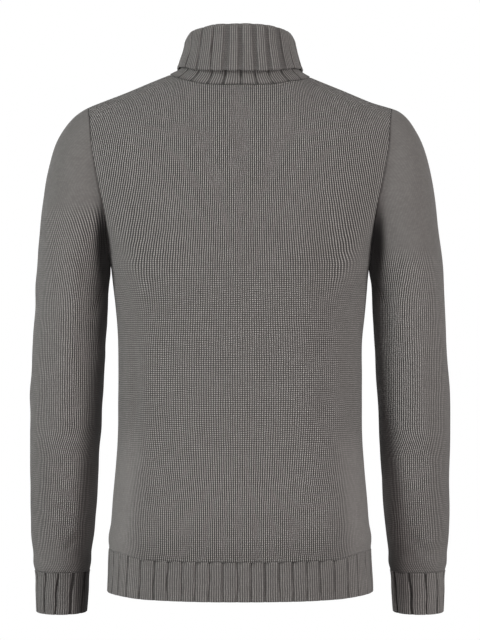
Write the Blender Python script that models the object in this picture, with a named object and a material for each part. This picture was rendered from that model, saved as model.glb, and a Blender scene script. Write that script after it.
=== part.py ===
"""A turtleneck sweater, filled out as it is when worn, with nobody inside.

The origin is the middle of the neck base, level with the high shoulder points. +Z is up, the front
faces -Y and +X is the wearer's left. Each piece that a maker would knit and link on is one object:
front, back, two sleeves, a folded collar, and the ribs at the hem and the cuffs.
"""

import math
from collections import namedtuple

import bpy
import numpy as np

# Cloth and seams, in metres.
WALL = 0.0024  # thickness of the knitted cloth
SEAM_GAP = 0.0003  # clearance between two pieces along a seam
CURVED_SEAM_GAP = 0.0005  # the same along the armhole and the neck, where facets come closer

# Levels, measured from the high shoulder points.
HEM_EDGE = -0.677
HEM_RIB_TOP = -0.626
UNDERARM = -0.245
BACK_CLOSES = -0.190  # above this level the back rounds over to the shoulders
FRONT_CLOSES = -0.220
SHOULDER_POINT = -0.0415  # top of the armhole seam
SLEEVE_RING = -0.270  # the sleeve is a plain tube below this level
SLEEVE_END = -0.6545
CUFF_EDGE = -0.709

# Shoulders and neck base.
NECK_HALF_WIDTH = 0.092
NECK_BACK_DEPTH = 0.065
NECK_FRONT_DEPTH = 0.075
NECK_ROUNDNESS = 2.3  # exponent of the neck base seen from above, 2 for an ellipse
SHOULDER_RISE = 0.007  # height of the shoulder line at SHOULDER_RISE_AT from the middle
SHOULDER_RISE_AT = 0.081
SHOULDER_FALL = 0.445  # drop of the shoulder line for each metre outwards, far from the neck
SHOULDER_ARCH = 0.050  # the line levels off within about this distance of the middle
TRUNK_ROUNDNESS = 2.3  # exponent of the trunk's level sections, 2 for an ellipse
BACK_SHOULDER_ROUNDNESS = 2.0  # exponent of the curve from the back up to the shoulder line
FRONT_SHOULDER_ROUNDNESS = 1.8

# How the sleeve head leaves the armhole: its slope at the shoulder point and under the arm, how far
# it bulges to front and back, and the reach of its curve at each end as shares of its length.
HEAD_SLOPE_TOP = math.radians(22.3)
HEAD_SLOPE_UNDERARM = math.radians(82)
HEAD_SLOPE_SPREAD = 1.2
HEAD_BULGE = 0.25
HEAD_REACH_BELOW = 0.56
HEAD_REACH_ABOVE = 0.235

# Facets.
NECK_COLUMNS = 6  # across half of the neck
SHOULDER_COLUMNS = 6  # from the neck out to the shoulder point
BODY_ROWS = 9  # from the hem rib up to the underarm
ARMHOLE_ROWS = 12  # from the underarm up to the shoulder point
HEAD_ROWS = 7  # from the sleeve's plain tube up to the armhole
RIB_ROWS = 2

Trunk = namedtuple("Trunk", "height half_width back front")
TRUNK = [
    Trunk(-0.677, 0.1744, 0.1085, 0.1045),
    Trunk(-0.626, 0.1718, 0.1095, 0.1050),
    Trunk(-0.565, 0.1677, 0.1060, 0.1035),
    Trunk(-0.485, 0.1611, 0.0960, 0.1000),
    Trunk(-0.400, 0.1597, 0.0905, 0.1005),
    Trunk(-0.327, 0.1611, 0.0930, 0.1060),
    Trunk(-0.268, 0.1675, 0.0990, 0.1110),
    Trunk(-0.245, 0.1705, 0.1015, 0.1125),
    Trunk(-0.214, 0.1775, 0.1045, 0.1150),
    Trunk(-0.193, 0.1860, 0.1055, 0.1150),
    Trunk(-0.150, 0.2020, 0.1055, 0.1150),
    Trunk(-0.100, 0.2160, 0.1055, 0.1150),
    Trunk(-0.041, 0.2280, 0.1055, 0.1150),
    Trunk(0.020, 0.2370, 0.1055, 0.1150),
]

# The armhole seam's distance from the middle, on the back and on the front.
Armhole = namedtuple("Armhole", "height back front")
ARMHOLE = [
    Armhole(-0.2450, 0.1705, 0.1705),
    Armhole(-0.2140, 0.1712, 0.1685),
    Armhole(-0.1750, 0.1762, 0.1690),
    Armhole(-0.1330, 0.1850, 0.1740),
    Armhole(-0.0950, 0.1920, 0.1805),
    Armhole(-0.0600, 0.1952, 0.1890),
    Armhole(-0.0415, 0.1985, 0.1985),
]

# The sleeve from its plain tube down to the cuff's edge, at the wearer's left.
Sleeve = namedtuple("Sleeve", "height centre_x centre_y half_width half_depth")
SLEEVE = [
    Sleeve(-0.270, 0.2205, -0.0060, 0.0476, 0.0600),
    Sleeve(-0.347, 0.2247, -0.0090, 0.0478, 0.0575),
    Sleeve(-0.427, 0.2294, -0.0140, 0.0476, 0.0540),
    Sleeve(-0.507, 0.2324, -0.0220, 0.0454, 0.0500),
    Sleeve(-0.587, 0.2352, -0.0310, 0.0429, 0.0450),
    Sleeve(-0.628, 0.2369, -0.0355, 0.0405, 0.0420),
    Sleeve(-0.644, 0.2369, -0.0375, 0.0394, 0.0404),
    Sleeve(-0.6545, 0.2369, -0.0385, 0.0366, 0.0369),
    Sleeve(-0.683, 0.2375, -0.0410, 0.0351, 0.0353),
    Sleeve(-0.709, 0.2382, -0.0430, 0.0337, 0.0341),
]

# The collar's cloth, up the stand, over the fold and down the turned part, at mid thickness.
# roundness is the exponent of each ring seen from above, and corner_drop how much lower the cloth
# lies behind, half way between the side and the middle of the back.
Collar = namedtuple(
    "Collar", "half_width back front rise_back rise_side rise_front roundness corner_drop"
)
COLLAR = [
    Collar(0.0788, 0.0620, 0.0725, -0.0080, 0.0066, -0.0360, 2.30, 0.0050),
    Collar(0.0705, 0.0575, 0.0655, 0.0220, 0.0310, -0.0060, 2.30, 0.0030),
    Collar(0.0662, 0.0540, 0.0605, 0.0550, 0.0435, 0.0285, 2.20, 0.0000),
    Collar(0.0684, 0.0562, 0.0627, 0.0603, 0.0488, 0.0340, 2.20, 0.0000),
    Collar(0.0706, 0.0584, 0.0649, 0.0565, 0.0448, 0.0300, 2.20, 0.0000),
    Collar(0.0725, 0.0612, 0.0682, 0.0425, 0.0370, 0.0160, 2.20, 0.0005),
    Collar(0.0745, 0.0640, 0.0715, 0.0285, 0.0290, 0.0015, 2.25, 0.0020),
    Collar(0.0815, 0.0712, 0.0790, -0.0010, 0.0090, -0.0300, 2.35, 0.0045),
]

YARN_COLOUR = (0.160, 0.150, 0.142, 1.0)
YARN_ROUGHNESS = 0.95


def curve_through(rows, column):
    """A smooth function of height through one column of a table."""
    heights = np.array([row.height for row in rows])
    values = np.array([getattr(row, column) for row in rows])
    order = np.argsort(heights)
    heights, values = heights[order], values[order]
    slopes = np.gradient(values, heights)

    def value_at(height):
        height = np.clip(height, heights[0], heights[-1])
        k = np.clip(np.searchsorted(heights, height) - 1, 0, len(heights) - 2)
        span = heights[k + 1] - heights[k]
        t = (height - heights[k]) / span
        start = (1 + 2 * t) * (1 - t) ** 2 * values[k] + t * (1 - t) ** 2 * span * slopes[k]
        end = t**2 * (3 - 2 * t) * values[k + 1] - t**2 * (1 - t) * span * slopes[k + 1]
        return start + end

    return value_at


trunk_half_width = curve_through(TRUNK, "half_width")
trunk_depth = {"back": curve_through(TRUNK, "back"), "front": curve_through(TRUNK, "front")}
armhole_x = {"back": curve_through(ARMHOLE, "back"), "front": curve_through(ARMHOLE, "front")}
sleeve_size = {name: curve_through(SLEEVE, name) for name in Sleeve._fields[1:]}
SHOULDER_ROUNDNESS = {"back": BACK_SHOULDER_ROUNDNESS, "front": FRONT_SHOULDER_ROUNDNESS}
CLOSES = {"back": BACK_CLOSES, "front": FRONT_CLOSES}
NECK_DEPTH = {"back": NECK_BACK_DEPTH, "front": NECK_FRONT_DEPTH}
FACING = {"back": 1.0, "front": -1.0}


def shoulder_line(x):
    """Height of the shoulder line, run on across the neck as if there were no opening."""
    outwards = np.hypot(x, SHOULDER_ARCH) - math.hypot(SHOULDER_RISE_AT, SHOULDER_ARCH)
    return SHOULDER_RISE - SHOULDER_FALL * outwards


def section_share(x, z):
    """How much of the trunk's depth is left at x, from 1 in the middle to 0 at the side."""
    across = np.clip(np.abs(x) / trunk_half_width(z), 0, 1)
    return (1 - across**TRUNK_ROUNDNESS) ** (1 / TRUNK_ROUNDNESS)


def trunk_surface(side, x, z):
    """Distance of the cloth from the plane of the side seams."""
    power = SHOULDER_ROUNDNESS[side]
    closes = CLOSES[side]
    rise = np.clip((z - closes) / (shoulder_line(x) - closes), 0, 1)
    return trunk_depth[side](z) * section_share(x, z) * (1 - rise**power) ** (1 / power)


def rounded_share(angle, roundness):
    """A ring's depth at an angle from the middle, as a share: the cosine where roundness is 2."""
    across = np.clip(np.abs(np.sin(angle)), 0, 1)
    return (1 - across**roundness) ** (1 / roundness)


def neck_seam(side, angle):
    """The neck opening in the trunk: angle is 0 in the middle and a quarter turn at the shoulder."""
    power = SHOULDER_ROUNDNESS[side]
    x = NECK_HALF_WIDTH * np.sin(angle)
    depth = NECK_DEPTH[side] * rounded_share(angle, NECK_ROUNDNESS)
    z = np.zeros_like(x)
    for _ in range(8):
        share = np.clip(depth / (trunk_depth[side](z) * section_share(x, z)), 0, 1)
        rise = (1 - share**power) ** (1 / power)
        z = CLOSES[side] + rise * (shoulder_line(x) - CLOSES[side])
    return x, depth, z


def column_angles(neck_columns, shoulder_columns):
    """Columns of half a panel: x is the row's own half width times a power of each angle's sine."""
    neck_share = NECK_HALF_WIDTH / armhole_x["back"](SHOULDER_POINT)
    neck = np.sin(np.linspace(0, math.pi / 2, neck_columns + 1)) * neck_share
    neck_angles = np.arcsin(neck ** (TRUNK_ROUNDNESS / 2))
    shoulder_angles = np.linspace(neck_angles[-1], math.pi / 2, shoulder_columns + 1)
    return np.concatenate([neck_angles, shoulder_angles[1:]])


def top_edge(side, share):
    """Height of a panel's upper edge, over the neck and along the shoulder."""
    x = share * armhole_x[side](SHOULDER_POINT)
    over_neck = np.arcsin(np.clip(x / NECK_HALF_WIDTH, 0, 1))
    return np.where(x < NECK_HALF_WIDTH, neck_seam(side, over_neck)[2], shoulder_line(x))


def panel_point(side, angle, height):
    """A point of the right-hand half of a panel.

    height runs from the hem to the underarm in metres, and on from there to UNDERARM + 1, where
    the last metre stands for the way up the armhole to the shoulder and neck.
    """
    share = np.sin(angle) ** (2 / TRUNK_ROUNDNESS)
    climb = np.clip(height - UNDERARM, 0, 1)
    edge_z = UNDERARM + climb * (SHOULDER_POINT - UNDERARM)
    z = np.minimum(height, UNDERARM) + climb * (top_edge(side, share) - UNDERARM)
    half_width = np.where(climb > 0, armhole_x[side](edge_z), trunk_half_width(height))
    x = half_width * share
    y = FACING[side] * (trunk_surface(side, x, z) + SEAM_GAP / 2)
    return np.stack([x, y, z], axis=-1)


def armhole_climbs(count):
    """Steps up the armhole of nearly equal length, as shares of its height."""
    fine = np.linspace(0, 1, 400) ** 2
    length = np.zeros_like(fine)
    for side in ("back", "front"):
        points = panel_point(side, np.full_like(fine, math.pi / 2), UNDERARM + fine)
        steps = np.linalg.norm(np.diff(points, axis=0), axis=1)
        length[1:] += np.cumsum(steps)
    return np.interp(np.linspace(0, length[-1], count + 1), length, fine)


def surface_normals(point_at, first, second, turn):
    """Unit normals of point_at(first, second), from tiny steps towards the middle of its domain.

    They are exact at the edges, so the walls of two pieces stay parallel where they meet.
    """
    step = 1e-5
    across = np.where(first > np.mean(first), -step, step)
    along = np.where(second > np.mean(second), -step, step)
    base = point_at(first, second)
    d_first = (point_at(first + across, second) - base) / across[..., None]
    d_second = (point_at(first, second + along) - base) / along[..., None]
    normal = turn * np.cross(d_first, d_second)
    return normal / np.linalg.norm(normal, axis=-1, keepdims=True)


def add_cloth(name, outer, inner, closed_round):
    """One closed solid between two grids of points, with rims along its open edges."""
    rows, columns = outer.shape[:2]
    corner = np.arange(rows * columns).reshape(rows, columns)
    if closed_round:
        corner = np.concatenate([corner, corner[:, :1]], axis=1)
    below = rows * columns
    faces = []
    for r in range(rows - 1):
        for c in range(corner.shape[1] - 1):
            quad = [corner[r, c], corner[r, c + 1], corner[r + 1, c + 1], corner[r + 1, c]]
            faces.append(quad)
            faces.append([q + below for q in reversed(quad)])
    edges = [corner[0, ::-1], corner[-1]]
    if not closed_round:
        edges += [corner[:, 0], corner[::-1, -1]]
    for edge in edges:
        for start, end in zip(edge[:-1], edge[1:]):
            faces.append([start, end, end + below, start + below])
    mesh = bpy.data.meshes.new(name)
    points = np.concatenate([outer.reshape(-1, 3), inner.reshape(-1, 3)])
    mesh.from_pydata(points.tolist(), [], [[int(v) for v in face] for face in faces])
    mesh.validate()
    mesh.shade_smooth()
    cloth = bpy.data.objects.new(name, mesh)
    cloth.data.materials.append(yarn_material())
    bpy.data.collections["turtleneck_sweater"].objects.link(cloth)
    return cloth


def yarn_material():
    """The plain warm grey yarn that every piece is knitted from."""
    found = bpy.data.materials.get("yarn")
    if found:
        return found
    material = bpy.data.materials.new("yarn")
    material.use_nodes = True
    shader = material.node_tree.nodes["Principled BSDF"]
    shader.inputs["Base Color"].default_value = YARN_COLOUR
    shader.inputs["Roughness"].default_value = YARN_ROUGHNESS
    shader.inputs["Metallic"].default_value = 0.0
    return material


def whole_panel(half, mirrored_half):
    """Joins a half panel to its mirror image, which shares the middle column."""
    return np.concatenate([mirrored_half[:, :0:-1], half], axis=1)


def mirror_x(vectors):
    return vectors * np.array([-1.0, 1.0, 1.0])


def add_panel(name, side, heights):
    """The front or the back between two levels, from side seam to side seam."""
    angles = column_angles(NECK_COLUMNS, SHOULDER_COLUMNS)
    angle, height = np.meshgrid(angles, heights)
    outer = panel_point(side, angle, height)
    steer = -FACING[side]
    normals = surface_normals(lambda a, h: panel_point(side, a, h), angle, height, steer)
    normals[:, 0, 0] = 0
    outer[:, 0, 0] = 0
    normals /= np.linalg.norm(normals, axis=-1, keepdims=True)
    inner = outer - WALL * normals
    inner[:, 0, 0] = 0
    outer = whole_panel(outer, mirror_x(outer))
    inner = whole_panel(inner, mirror_x(inner))
    if side == "back":
        outer, inner = outer[:, ::-1], inner[:, ::-1]
    return add_cloth(name, outer, inner, closed_round=False)


def sleeve_tube(turn, height):
    """A point of the sleeve's plain tube: turn is 0 outside, +0.5 at the back, 1 inside."""
    x = sleeve_size["centre_x"](height) + sleeve_size["half_width"](height) * np.cos(math.pi * turn)
    y = sleeve_size["centre_y"](height) + sleeve_size["half_depth"](height) * np.sin(math.pi * turn)
    return np.stack([x, y, height + 0 * x], axis=-1)


def armhole_climb_at(turn, turns, climbs):
    """The climb up the armhole that belongs to a turn around the sleeve."""
    return np.interp(np.abs(turn), turns[::-1], climbs[::-1])


def sleeve_point(turn, height, turns, climbs):
    """A point of the whole sleeve; height above SLEEVE_RING runs to SLEEVE_RING + 1 at the armhole."""
    tube = sleeve_tube(turn, np.minimum(height, SLEEVE_RING))
    share = np.clip(height - SLEEVE_RING, 0, 1)[..., None]
    climb = armhole_climb_at(turn, turns, climbs)
    quarter = np.full_like(climb, math.pi / 2)
    on_back = panel_point("back", quarter, UNDERARM + climb)
    on_front = panel_point("front", quarter, UNDERARM + climb)
    seam = np.where((turn >= 0)[..., None], on_back, on_front)

    slope = HEAD_SLOPE_TOP + (HEAD_SLOPE_UNDERARM - HEAD_SLOPE_TOP) * np.abs(turn) ** HEAD_SLOPE_SPREAD
    bulge = HEAD_BULGE * np.sin(math.pi * turn)
    leaving = np.stack([np.cos(slope), bulge, -np.sin(slope)], axis=-1)
    leaving /= np.linalg.norm(leaving, axis=-1, keepdims=True)
    end = seam + leaving * CURVED_SEAM_GAP

    start = sleeve_tube(turn, np.full_like(turn, SLEEVE_RING))
    rising = start - sleeve_tube(turn, np.full_like(turn, SLEEVE_RING - 0.005))
    rising /= np.linalg.norm(rising, axis=-1, keepdims=True)
    length = np.linalg.norm(end - start, axis=-1, keepdims=True)
    low = start + rising * length * HEAD_REACH_BELOW
    high = end + leaving * length * HEAD_REACH_ABOVE
    head = (1 - share) ** 3 * start + 3 * share * (1 - share) ** 2 * low
    head = head + 3 * share**2 * (1 - share) * high + share**3 * end
    return np.where(share > 0, head, tube)


def sleeve_turns(climbs):
    """Columns around the sleeve, one for each point of the armhole seam, and the turn of each climb."""
    lengths = []
    for side in ("back", "front"):
        edge = panel_point(side, np.full_like(climbs, math.pi / 2), UNDERARM + climbs)
        steps = np.linalg.norm(np.diff(edge, axis=0), axis=1)
        lengths.append(np.concatenate([[0], np.cumsum(steps)]))
    mean = (lengths[0] + lengths[1]) / 2
    return 1 - mean / mean[-1]


def add_sleeve_piece(name, mirrored, heights, climbs):
    """A sleeve or a cuff, as a tube between two levels."""
    turns = sleeve_turns(climbs)
    around = np.concatenate([turns, -turns[-2:0:-1]])
    turn, height = np.meshgrid(around, heights)

    def point_at(t, h):
        return sleeve_point(t, h, turns, climbs)

    outer = point_at(turn, height)
    inner = outer - WALL * sleeve_normals(point_at, turn, height)
    if mirrored:
        outer, inner = mirror_x(outer), mirror_x(inner)
    else:
        outer, inner = outer[:, ::-1], inner[:, ::-1]
    return add_cloth(name, outer, inner, closed_round=True)


def sleeve_normals(point_at, turn, height):
    """Normals of the sleeve, from both neighbours around it and one along it."""
    step = 1e-4
    along = np.where(height > SLEEVE_RING + 0.5, -step, step)
    d_turn = point_at(turn + step, height) - point_at(turn - step, height)
    d_height = (point_at(turn, height + along) - point_at(turn, height)) / along[..., None]
    normal = np.cross(d_turn, d_height)
    return normal / np.linalg.norm(normal, axis=-1, keepdims=True)


def collar_rings(angles):
    """The collar's mid surface: a ring at the neck seam, and one for each row of its table."""
    facing_back = np.cos(angles)
    x_share = np.sin(angles)
    behind = facing_back >= 0
    quarter = np.arcsin(np.clip(np.abs(x_share), 0, 1))
    back_seam = neck_seam("back", quarter)
    front_seam = neck_seam("front", quarter)
    seam_y = np.where(behind, back_seam[1], -front_seam[1])
    seam_z = np.where(behind, back_seam[2], front_seam[2])
    seam = np.stack([NECK_HALF_WIDTH * x_share, seam_y, seam_z], axis=-1)
    rings = []
    for row in COLLAR:
        depth = np.where(behind, row.back, -row.front) * rounded_share(angles, row.roundness)
        tilt = (row.rise_back - row.rise_front) / 2
        lift = (row.rise_back + row.rise_front) / 2 - row.rise_side
        z = row.rise_side + tilt * facing_back + lift * facing_back**2
        z = z - row.corner_drop * np.where(behind, np.sin(2 * angles) ** 2, 0)
        rings.append(np.stack([row.half_width * x_share, depth, z], axis=-1))
    rising = rings[0] - seam
    rising /= np.linalg.norm(rising, axis=-1, keepdims=True)
    return np.array([seam + rising * CURVED_SEAM_GAP] + rings)


def add_collar():
    """One ribbed tube, linked to the neck and folded down outside itself."""
    angles = np.linspace(0, 2 * math.pi, 4 * NECK_COLUMNS, endpoint=False)
    middle = collar_rings(angles)
    d_around = np.roll(middle, -1, axis=1) - np.roll(middle, 1, axis=1)
    d_along = np.gradient(middle, axis=0)
    normal = np.cross(d_along, d_around)
    normal /= np.linalg.norm(normal, axis=-1, keepdims=True)
    outer = middle + normal * WALL / 2
    inner = middle - normal * WALL / 2
    return add_cloth("collar", outer[:, ::-1], inner[:, ::-1], closed_round=True)


def clear_scene():
    for old in list(bpy.data.objects):
        bpy.data.objects.remove(old, do_unlink=True)
    parts = bpy.data.collections.new("turtleneck_sweater")
    bpy.context.scene.collection.children.link(parts)


def build():
    clear_scene()
    climbs = armhole_climbs(ARMHOLE_ROWS)
    plain_rows = np.linspace(HEM_RIB_TOP + SEAM_GAP / 2, UNDERARM, BODY_ROWS + 1)
    panel_rows = np.concatenate([plain_rows, UNDERARM + climbs[1:]])
    rib_rows = np.linspace(HEM_EDGE, HEM_RIB_TOP - SEAM_GAP / 2, RIB_ROWS + 1)
    for side in ("front", "back"):
        add_panel(side, side, panel_rows)
        add_panel("hem_rib_" + side, side, rib_rows)

    tube_rows = np.array([row.height for row in SLEEVE if row.height >= SLEEVE_END])[::-1]
    tube_rows[0] += SEAM_GAP / 2
    head_rows = SLEEVE_RING + np.linspace(0, 1, HEAD_ROWS + 1)[1:]
    sleeve_rows = np.concatenate([tube_rows, head_rows])
    cuff_rows = np.linspace(CUFF_EDGE, SLEEVE_END - SEAM_GAP / 2, RIB_ROWS + 1)
    for hand, mirrored in (("left", False), ("right", True)):
        add_sleeve_piece("sleeve_" + hand, mirrored, sleeve_rows, climbs)
        add_sleeve_piece("cuff_" + hand, mirrored, cuff_rows, climbs)
    add_collar()


build()
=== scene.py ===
# %% [markdown]
# # A knitted turtleneck sweater
#
# This lesson dresses a plain model of a wool sweater in its real look. The sweater is filled out as
# if somebody wore it, but it is hollow. The frame brings the plain walls, at their real size. We
# knit a finer piece of cloth over each of them, with ribs, rolled edges and folds, and give it yarn.
#
# +Z is up, the front faces -Y, and +X is the wearer's left. Every length is in metres.

# %% Load the frame
import math
from collections import namedtuple

import bpy
import numpy as np
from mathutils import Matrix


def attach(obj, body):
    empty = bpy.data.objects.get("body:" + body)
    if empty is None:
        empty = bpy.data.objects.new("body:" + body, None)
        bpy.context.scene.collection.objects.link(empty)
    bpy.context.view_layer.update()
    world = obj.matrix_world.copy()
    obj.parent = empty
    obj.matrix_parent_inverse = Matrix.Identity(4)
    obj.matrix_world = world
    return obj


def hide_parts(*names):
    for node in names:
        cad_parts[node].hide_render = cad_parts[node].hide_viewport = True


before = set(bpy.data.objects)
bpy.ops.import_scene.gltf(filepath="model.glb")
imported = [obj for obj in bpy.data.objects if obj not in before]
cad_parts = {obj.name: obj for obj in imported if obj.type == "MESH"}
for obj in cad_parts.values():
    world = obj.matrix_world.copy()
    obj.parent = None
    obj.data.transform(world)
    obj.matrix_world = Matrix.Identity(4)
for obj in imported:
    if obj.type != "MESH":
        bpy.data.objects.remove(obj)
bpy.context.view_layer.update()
scene = bpy.context.scene
print("plain pieces:", ", ".join(sorted(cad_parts)))

# %% [markdown]
# ## Camera
#
# The camera stands behind the wearer, level with the elbows, and looks straight at the back. A long
# lens from 2.6 m keeps the sleeves and the back at the same scale. We give the focal length by what
# it does: how many pixels a metre fills at a distance of one metre.

# %% Place the camera
CAMERA_DISTANCE = 2.6
CAMERA_HEIGHT = -0.3209
FOCAL_PIXELS = 1977.2
IMAGE_HEIGHT = 640
SENSOR = 36.0

camera_data = bpy.data.cameras.new("camera")
camera_data.sensor_fit = "VERTICAL"
camera_data.sensor_width = SENSOR
camera_data.sensor_height = SENSOR
camera_data.lens = SENSOR * FOCAL_PIXELS / IMAGE_HEIGHT
camera = bpy.data.objects.new("camera", camera_data)
camera.location = (0.0, CAMERA_DISTANCE, CAMERA_HEIGHT)
camera.rotation_euler = (math.radians(90), 0.0, math.radians(180))
scene.collection.objects.link(camera)
scene.camera = camera
print(f"lens {camera_data.lens:.1f} mm")

# %% [markdown]
# ## Floor and light
#
# A plain white floor and a white background keep the eye on the wool. Dark matt wool needs large,
# soft lights from both sides: they graze the ribs and the folds, and leave the gap between a sleeve
# and the body dark. Floor and world are white for the camera alone, and dim for all that they light.

# %% One look for the camera, another for the light
WHITE = (1.0, 1.0, 1.0, 1.0)


def show_camera_another(tree, usual, for_camera, output):
    """The camera sees the second shader. The light meets the first."""
    seen = tree.nodes.new("ShaderNodeLightPath")
    mix = tree.nodes.new("ShaderNodeMixShader")
    tree.links.new(seen.outputs["Is Camera Ray"], mix.inputs[0])
    tree.links.new(usual.outputs[0], mix.inputs[1])
    tree.links.new(for_camera.outputs[0], mix.inputs[2])
    tree.links.new(mix.outputs[0], tree.nodes[output].inputs["Surface"])


# %% Floor
FLOOR_LEVEL = -0.86
FLOOR_SIZE = 60.0
FLOOR_COLOUR = (0.28, 0.28, 0.28, 1.0)  # low, so that little light comes back up from the floor


def add_floor():
    half = FLOOR_SIZE / 2
    corners = [(-half, -half, 0), (half, -half, 0), (half, half, 0), (-half, half, 0)]
    mesh = bpy.data.meshes.new("floor")
    mesh.from_pydata(corners, [], [(0, 1, 2, 3)])
    floor = bpy.data.objects.new("floor", mesh)
    floor.location = (0.0, 0.0, FLOOR_LEVEL)
    scene.collection.objects.link(floor)
    material = bpy.data.materials.new("pale_floor")
    material.use_nodes = True
    tree = material.node_tree
    shader = tree.nodes["Principled BSDF"]
    shader.inputs["Base Color"].default_value = FLOOR_COLOUR
    shader.inputs["Roughness"].default_value = 1.0
    show_camera_another(tree, shader, tree.nodes.new("ShaderNodeEmission"), "Material Output")
    mesh.materials.append(material)


add_floor()

# %% World
AMBIENT = 0.06


def add_world():
    world = bpy.data.worlds.new("studio")
    world.use_nodes = True
    tree = world.node_tree
    dim = tree.nodes["Background"]
    dim.inputs["Color"].default_value = WHITE
    dim.inputs["Strength"].default_value = AMBIENT
    white = tree.nodes.new("ShaderNodeBackground")
    white.inputs["Color"].default_value = WHITE
    show_camera_another(tree, dim, white, "World Output")
    scene.world = world


add_world()
scene.view_settings.view_transform = "Standard"

# %% Soft boxes
SoftBox = namedtuple("SoftBox", "name place width height power colour")
LIGHT_TARGET = (0.0, 0.0, -0.33)
SOFT_BOXES = [
    SoftBox("left", (2.02, 1.35, 0.25), 0.6, 1.9, 61.0, (0.92, 1.0, 0.99)),
    SoftBox("right", (-2.02, 1.35, 0.25), 0.6, 1.9, 50.0, (0.98, 1.0, 0.985)),
    SoftBox("behind_camera", (0.0, 2.9, 0.7), 1.2, 1.0, 11.0, (1.0, 0.950, 0.955)),
    SoftBox("low_middle", (0.0, 2.2, -0.60), 1.4, 0.25, 12.5, (1.0, 0.950, 0.955)),
    SoftBox("front_left", (1.2, -2.2, 0.3), 1.3, 1.9, 24.0, (1.0, 1.0, 1.0)),
    SoftBox("front_right", (-1.2, -2.2, 0.3), 1.3, 1.9, 20.0, (1.0, 1.0, 1.0)),
    SoftBox("above", (0.0, 0.2, 2.2), 1.6, 1.6, 12.0, (1.0, 1.0, 1.0)),
]


def add_soft_box(box):
    data = bpy.data.lights.new(box.name, "AREA")
    data.shape = "RECTANGLE"
    data.size = box.width
    data.size_y = box.height
    data.energy = box.power
    data.color = box.colour
    light = bpy.data.objects.new(box.name, data)
    light.location = box.place
    light.visible_camera = False
    aim = np.array(LIGHT_TARGET) - np.array(box.place)
    level = math.hypot(aim[0], aim[1])
    light.rotation_euler = (math.atan2(level, -aim[2]), 0.0, math.atan2(aim[1], aim[0]) - math.pi / 2)
    scene.collection.objects.link(light)


for soft_box in SOFT_BOXES:
    add_soft_box(soft_box)
print(f"{len(SOFT_BOXES)} soft boxes")

# %% [markdown]
# ## The sweater's form
#
# The body is a tube whose level sections are rounded rectangles, closed over at the shoulders and
# cut at the armholes and the neck. The tables give its sizes at a few levels, and a smooth curve
# runs through them. These are the sizes of the plain walls, so the fine cloth lies on the same form.

# %% Levels and sizes
WALL = 0.0024
SEAM_GAP = 0.0003
CURVED_SEAM_GAP = 0.0005
KNITTED_ON_GAP = 0.00002  # a rib and the cloth knitted on to it
HEM_EDGE = -0.677
HEM_RIB_TOP = -0.626
WAIST = -0.4
UNDERARM = -0.245
SHOULDER_POINT = -0.0415
SLEEVE_RING = -0.270
SLEEVE_END = -0.6545
CUFF_EDGE = -0.7102
NECK_HALF_WIDTH = 0.092
NECK_DEPTH = {"back": 0.065, "front": 0.075}
NECK_ROUNDNESS = 2.3
SHOULDER_RISE = 0.007
SHOULDER_RISE_AT = 0.081
SHOULDER_FALL = 0.445
SHOULDER_ARCH = 0.050
TRUNK_ROUNDNESS = 2.3
SHOULDER_ROUNDNESS = {"back": 2.0, "front": 1.8}
CLOSES = {"back": -0.190, "front": -0.220}
FACING = {"back": 1.0, "front": -1.0}

Trunk = namedtuple("Trunk", "height half_width back front")
TRUNK = [
    Trunk(-0.677, 0.1744, 0.1085, 0.1045),
    Trunk(-0.626, 0.1718, 0.1095, 0.1050),
    Trunk(-0.565, 0.1677, 0.1060, 0.1035),
    Trunk(-0.485, 0.1611, 0.0960, 0.1000),
    Trunk(-0.400, 0.1597, 0.0905, 0.1005),
    Trunk(-0.327, 0.1611, 0.0930, 0.1060),
    Trunk(-0.268, 0.1675, 0.0990, 0.1110),
    Trunk(-0.245, 0.1705, 0.1015, 0.1125),
    Trunk(-0.214, 0.1775, 0.1045, 0.1150),
    Trunk(-0.193, 0.1860, 0.1055, 0.1150),
    Trunk(-0.150, 0.2020, 0.1055, 0.1150),
    Trunk(-0.100, 0.2160, 0.1055, 0.1150),
    Trunk(-0.041, 0.2280, 0.1055, 0.1150),
    Trunk(0.020, 0.2370, 0.1055, 0.1150),
]
Armhole = namedtuple("Armhole", "height back front")
ARMHOLE = [
    Armhole(-0.2450, 0.1705, 0.1705),
    Armhole(-0.2140, 0.1712, 0.1685),
    Armhole(-0.1750, 0.1762, 0.1690),
    Armhole(-0.1330, 0.1850, 0.1740),
    Armhole(-0.0950, 0.1920, 0.1805),
    Armhole(-0.0600, 0.1952, 0.1890),
    Armhole(-0.0415, 0.1985, 0.1985),
]

# %% A smooth curve through a table


def smooth_through(knots, values, place):
    """The value at a place on a smooth curve through one value, or one row of points, for each knot."""
    slopes = np.gradient(values, knots, axis=0)
    k = np.clip(np.searchsorted(knots, place) - 1, 0, len(knots) - 2)
    shape = np.shape(k) + (1,) * (values.ndim - 1)
    span = np.reshape(knots[k + 1] - knots[k], shape)
    t = np.reshape(place - knots[k], shape) / span
    start = (1 + 2 * t) * (1 - t) ** 2 * values[k] + t * (1 - t) ** 2 * span * slopes[k]
    end = t**2 * (3 - 2 * t) * values[k + 1] - t**2 * (1 - t) * span * slopes[k + 1]
    return start + end


def curve_through(rows, column):
    """A smooth function of height through one column of a table."""
    rows = sorted(rows)
    heights = np.array([row.height for row in rows])
    values = np.array([getattr(row, column) for row in rows])
    return lambda height: smooth_through(heights, values, np.clip(height, heights[0], heights[-1]))


trunk_half_width = curve_through(TRUNK, "half_width")
trunk_depth = {side: curve_through(TRUNK, side) for side in FACING}
armhole_x = {side: curve_through(ARMHOLE, side) for side in FACING}
print(f"waist {2000 * float(trunk_half_width(WAIST)):.0f} mm across")

# %% The trunk, the shoulder line and the neck opening


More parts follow.
